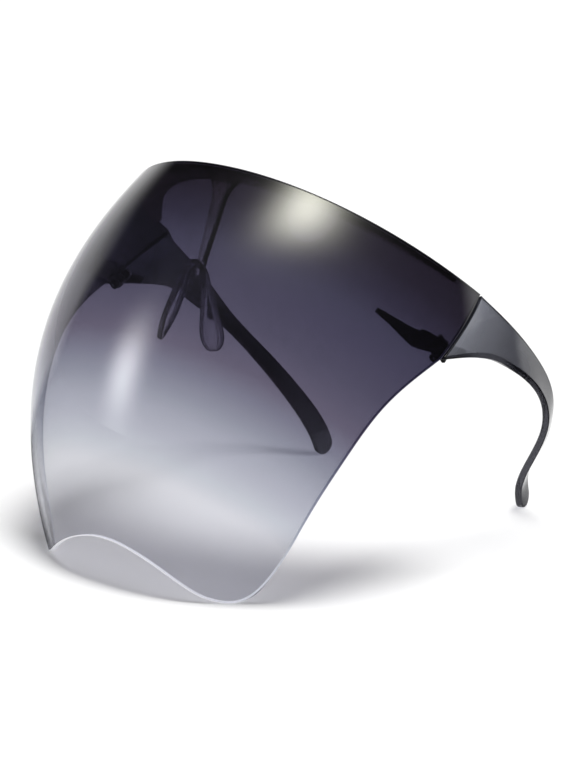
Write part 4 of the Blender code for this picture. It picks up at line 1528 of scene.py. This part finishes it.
@dataclass
class Studio:
    """White sweep, soft lamps and the camera of the photograph."""

    eye: tuple[float, float, float] = (598.52, -653.95, -314.29)
    right: tuple[float, float, float] = (0.779, 0.4414, 0.4454)
    up: tuple[float, float, float] = (-0.1927, -0.5075, 0.8398)
    lens: float = 133.42
    sensor: float = 36.0
    lamp_from: tuple[float, float, float] = (0.17, -0.02, 0.98)
    lamp_angle: float = math.radians(25.0)
    lamp_level: float = 1.0
    fill_level: float = 0.128
    paper: float = 0.88
    paper_glow: float = 0.1
    dark_room: float = 0.03
    white_towards: tuple[float, float, float] = (-0.6, 1.0, 0.0)
    white_fade: tuple[float, float] = (0.46, 0.66)
    low_fade: tuple[float, float] = (0.45, 0.15)
    floor_reach: float = 6.0
    bearing_core: float = 0.02
    clip_end: float = 20.0
    boxes: tuple[SoftBox, ...] = (
        SoftBox((0.827, 0.558, -0.069), (-0.54, 0.823, 0.176), (0.232, 0.139), 17.0, (1.0, 1.0, 0.86)),
        SoftBox((0.827, 0.558, -0.069), (-0.54, 0.823, 0.176), (0.48, 0.36), 0.9, (0.98, 0.98, 1.0)),
        SoftBox((0.784, -0.588, 0.198), (0.018, 0.339, 0.941), (0.127, 0.198), 10.0, (0.98, 0.98, 1.0)))

    def add_camera(self, pose: WornPose) -> None:
        """Camera at the photograph's angle, tied to the worn position."""
        data = bpy.data.cameras.new("camera")
        data.lens, data.sensor_width, data.sensor_fit = self.lens, self.sensor, "AUTO"
        data.clip_end = self.clip_end
        camera = bpy.data.objects.new("camera", data)
        right, up = (unit(pose.direction(axis)) for axis in (self.right, self.up))
        back = unit(np.cross(right, up))
        frame = frame_of(right, np.cross(back, right), back, pose.place(np.array(self.eye)))
        camera.matrix_world = Matrix(frame.tolist())
        bpy.context.scene.collection.objects.link(camera)
        bpy.context.scene.camera = camera

    def add_lamp(self) -> None:
        """Wide soft lamp from above, not seen in reflections.

        Pi times a level lights a surface like a white room of that level.
        """
        data = bpy.data.lights.new("overhead", "SUN")
        data.angle = self.lamp_angle
        data.energy = self.lamp_level * math.pi
        lamp = bpy.data.objects.new("overhead", data)
        lamp.visible_glossy = False
        lamp.matrix_world = Vector(self.lamp_from).to_track_quat("Z", "Y").to_matrix().to_4x4()
        bpy.context.scene.collection.objects.link(lamp)

    def lit_side(self, sheet: NodeSheet, ray: Socket) -> Socket:
        """Share of white in what reflections show: the room is white behind the object, dark in front."""
        return sheet.fade(sheet.dot(ray, self.white_towards), self.white_fade)

    def add_floor(self) -> None:
        """Pale floor that shows white and keeps the shadow.

        Reflections see it white on the lit side and dark on the other, by the bearing of
        each point, so that it meets the room's horizon without an edge.
        """
        mesh = bpy.data.meshes.new("floor")
        reach = self.floor_reach
        mesh.from_pydata([(-reach, -reach, 0), (reach, -reach, 0), (reach, reach, 0), (-reach, reach, 0)], [],
                         [(0, 1, 2, 3)])
        floor = bpy.data.objects.new("floor", mesh)
        bpy.context.scene.collection.objects.link(floor)
        sheet = NodeSheet.named("floor")
        paper = sheet.add("BsdfDiffuse", {"Color": grey(self.paper)})
        glow = sheet.add("Emission", {"Color": grey(1.0), "Strength": self.paper_glow})
        both = sheet.add("AddShader", {0: paper.outputs[0], 1: glow.outputs[0]})
        place = sheet.object_place()
        away = sheet.add("VectorMath", {0: place}, operation="LENGTH").outputs["Value"]
        bearing = sheet.scaled(place, sheet.maths("DIVIDE", 1.0, sheet.maths("ADD", away, self.bearing_core)))
        dark = sheet.add("BsdfDiffuse", {"Color": grey(self.dark_room)})
        mirrored = sheet.mixed(self.lit_side(sheet, bearing), dark, both)
        mesh.materials.append(sheet.finish(self.by_ray(sheet, paper, mirrored, both)))

    def by_ray(self, sheet: NodeSheet, plain: Node, mirrored: Node, seen: Node) -> Node:
        """Surface or background that depends on the kind of ray that meets it.

        Args:
            sheet: Nodes of the floor or the world.
            plain: What lights the object.
            mirrored: What reflections show.
            seen: What the camera sees, also through clear pieces.

        Returns:
            The node that mixes them.
        """
        path = sheet.add("LightPath").outputs
        direct = sheet.maths("MAXIMUM", path["Is Camera Ray"], path["Is Transmission Ray"])
        return sheet.mixed(direct, sheet.mixed(path["Is Glossy Ray"], plain, mirrored), seen)

    def add_world(self) -> None:
        """White for the eye, soft light all round, and for reflections a room with soft lamps."""
        world = bpy.data.worlds.new("studio")
        sheet = NodeSheet(world, "OutputWorld")
        ray = sheet.add("TexCoord").outputs["Generated"]
        low = sheet.fade(sheet.dot(ray, (0.0, 0.0, 1.0)), self.low_fade)
        white = sheet.maths("MULTIPLY", self.lit_side(sheet, ray), low)
        room = sheet.scaled((1.0, 1.0, 1.0), sheet.maths("MAXIMUM", white, self.dark_room))
        for box in self.boxes:
            glow = box.glow(sheet, ray)
            room = sheet.add("VectorMath", {0: room, 1: glow}, operation="ADD").outputs["Vector"]
        fill, mirrored, seen = (sheet.add("Background", {"Color": color})
                                for color in (grey(self.fill_level), room, grey(1.0)))
        bpy.context.scene.world = sheet.finish(self.by_ray(sheet, fill, mirrored, seen))

    def build(self, pose: WornPose) -> None:
        """Set up world, floor, lamp and camera."""
        self.add_world()
        self.add_floor()
        self.add_lamp()
        self.add_camera(pose)
        bpy.context.scene.view_settings.view_transform = "Standard"


def main() -> None:
    """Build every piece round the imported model, then the studio."""
    logging.basicConfig(level=logging.INFO, format="%(name)s: %(message)s")
    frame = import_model()
    shield = Shield()
    hinge = Hinge(shield)
    joint = next(joint for joint in frame["joints"] if joint["name"] == "right_fold")
    pose = WornPose.from_joint(joint, hinge.frame())
    LOG.info("standing tilt %.3f degrees, shift %s", math.degrees(pose.tilt), pose.shift.round(5))
    shop = Workshop(pose)
    shield.build(shop)
    brow = BrowFrame(shield)
    brow.build(shop)
    NosePad(brow).build(shop)
    temple = Temple(shield, hinge)
    temple.build(shop)
    hinge.build(shop, temple)
    Studio().build(pose)


if __name__ == "__main__":
    main()
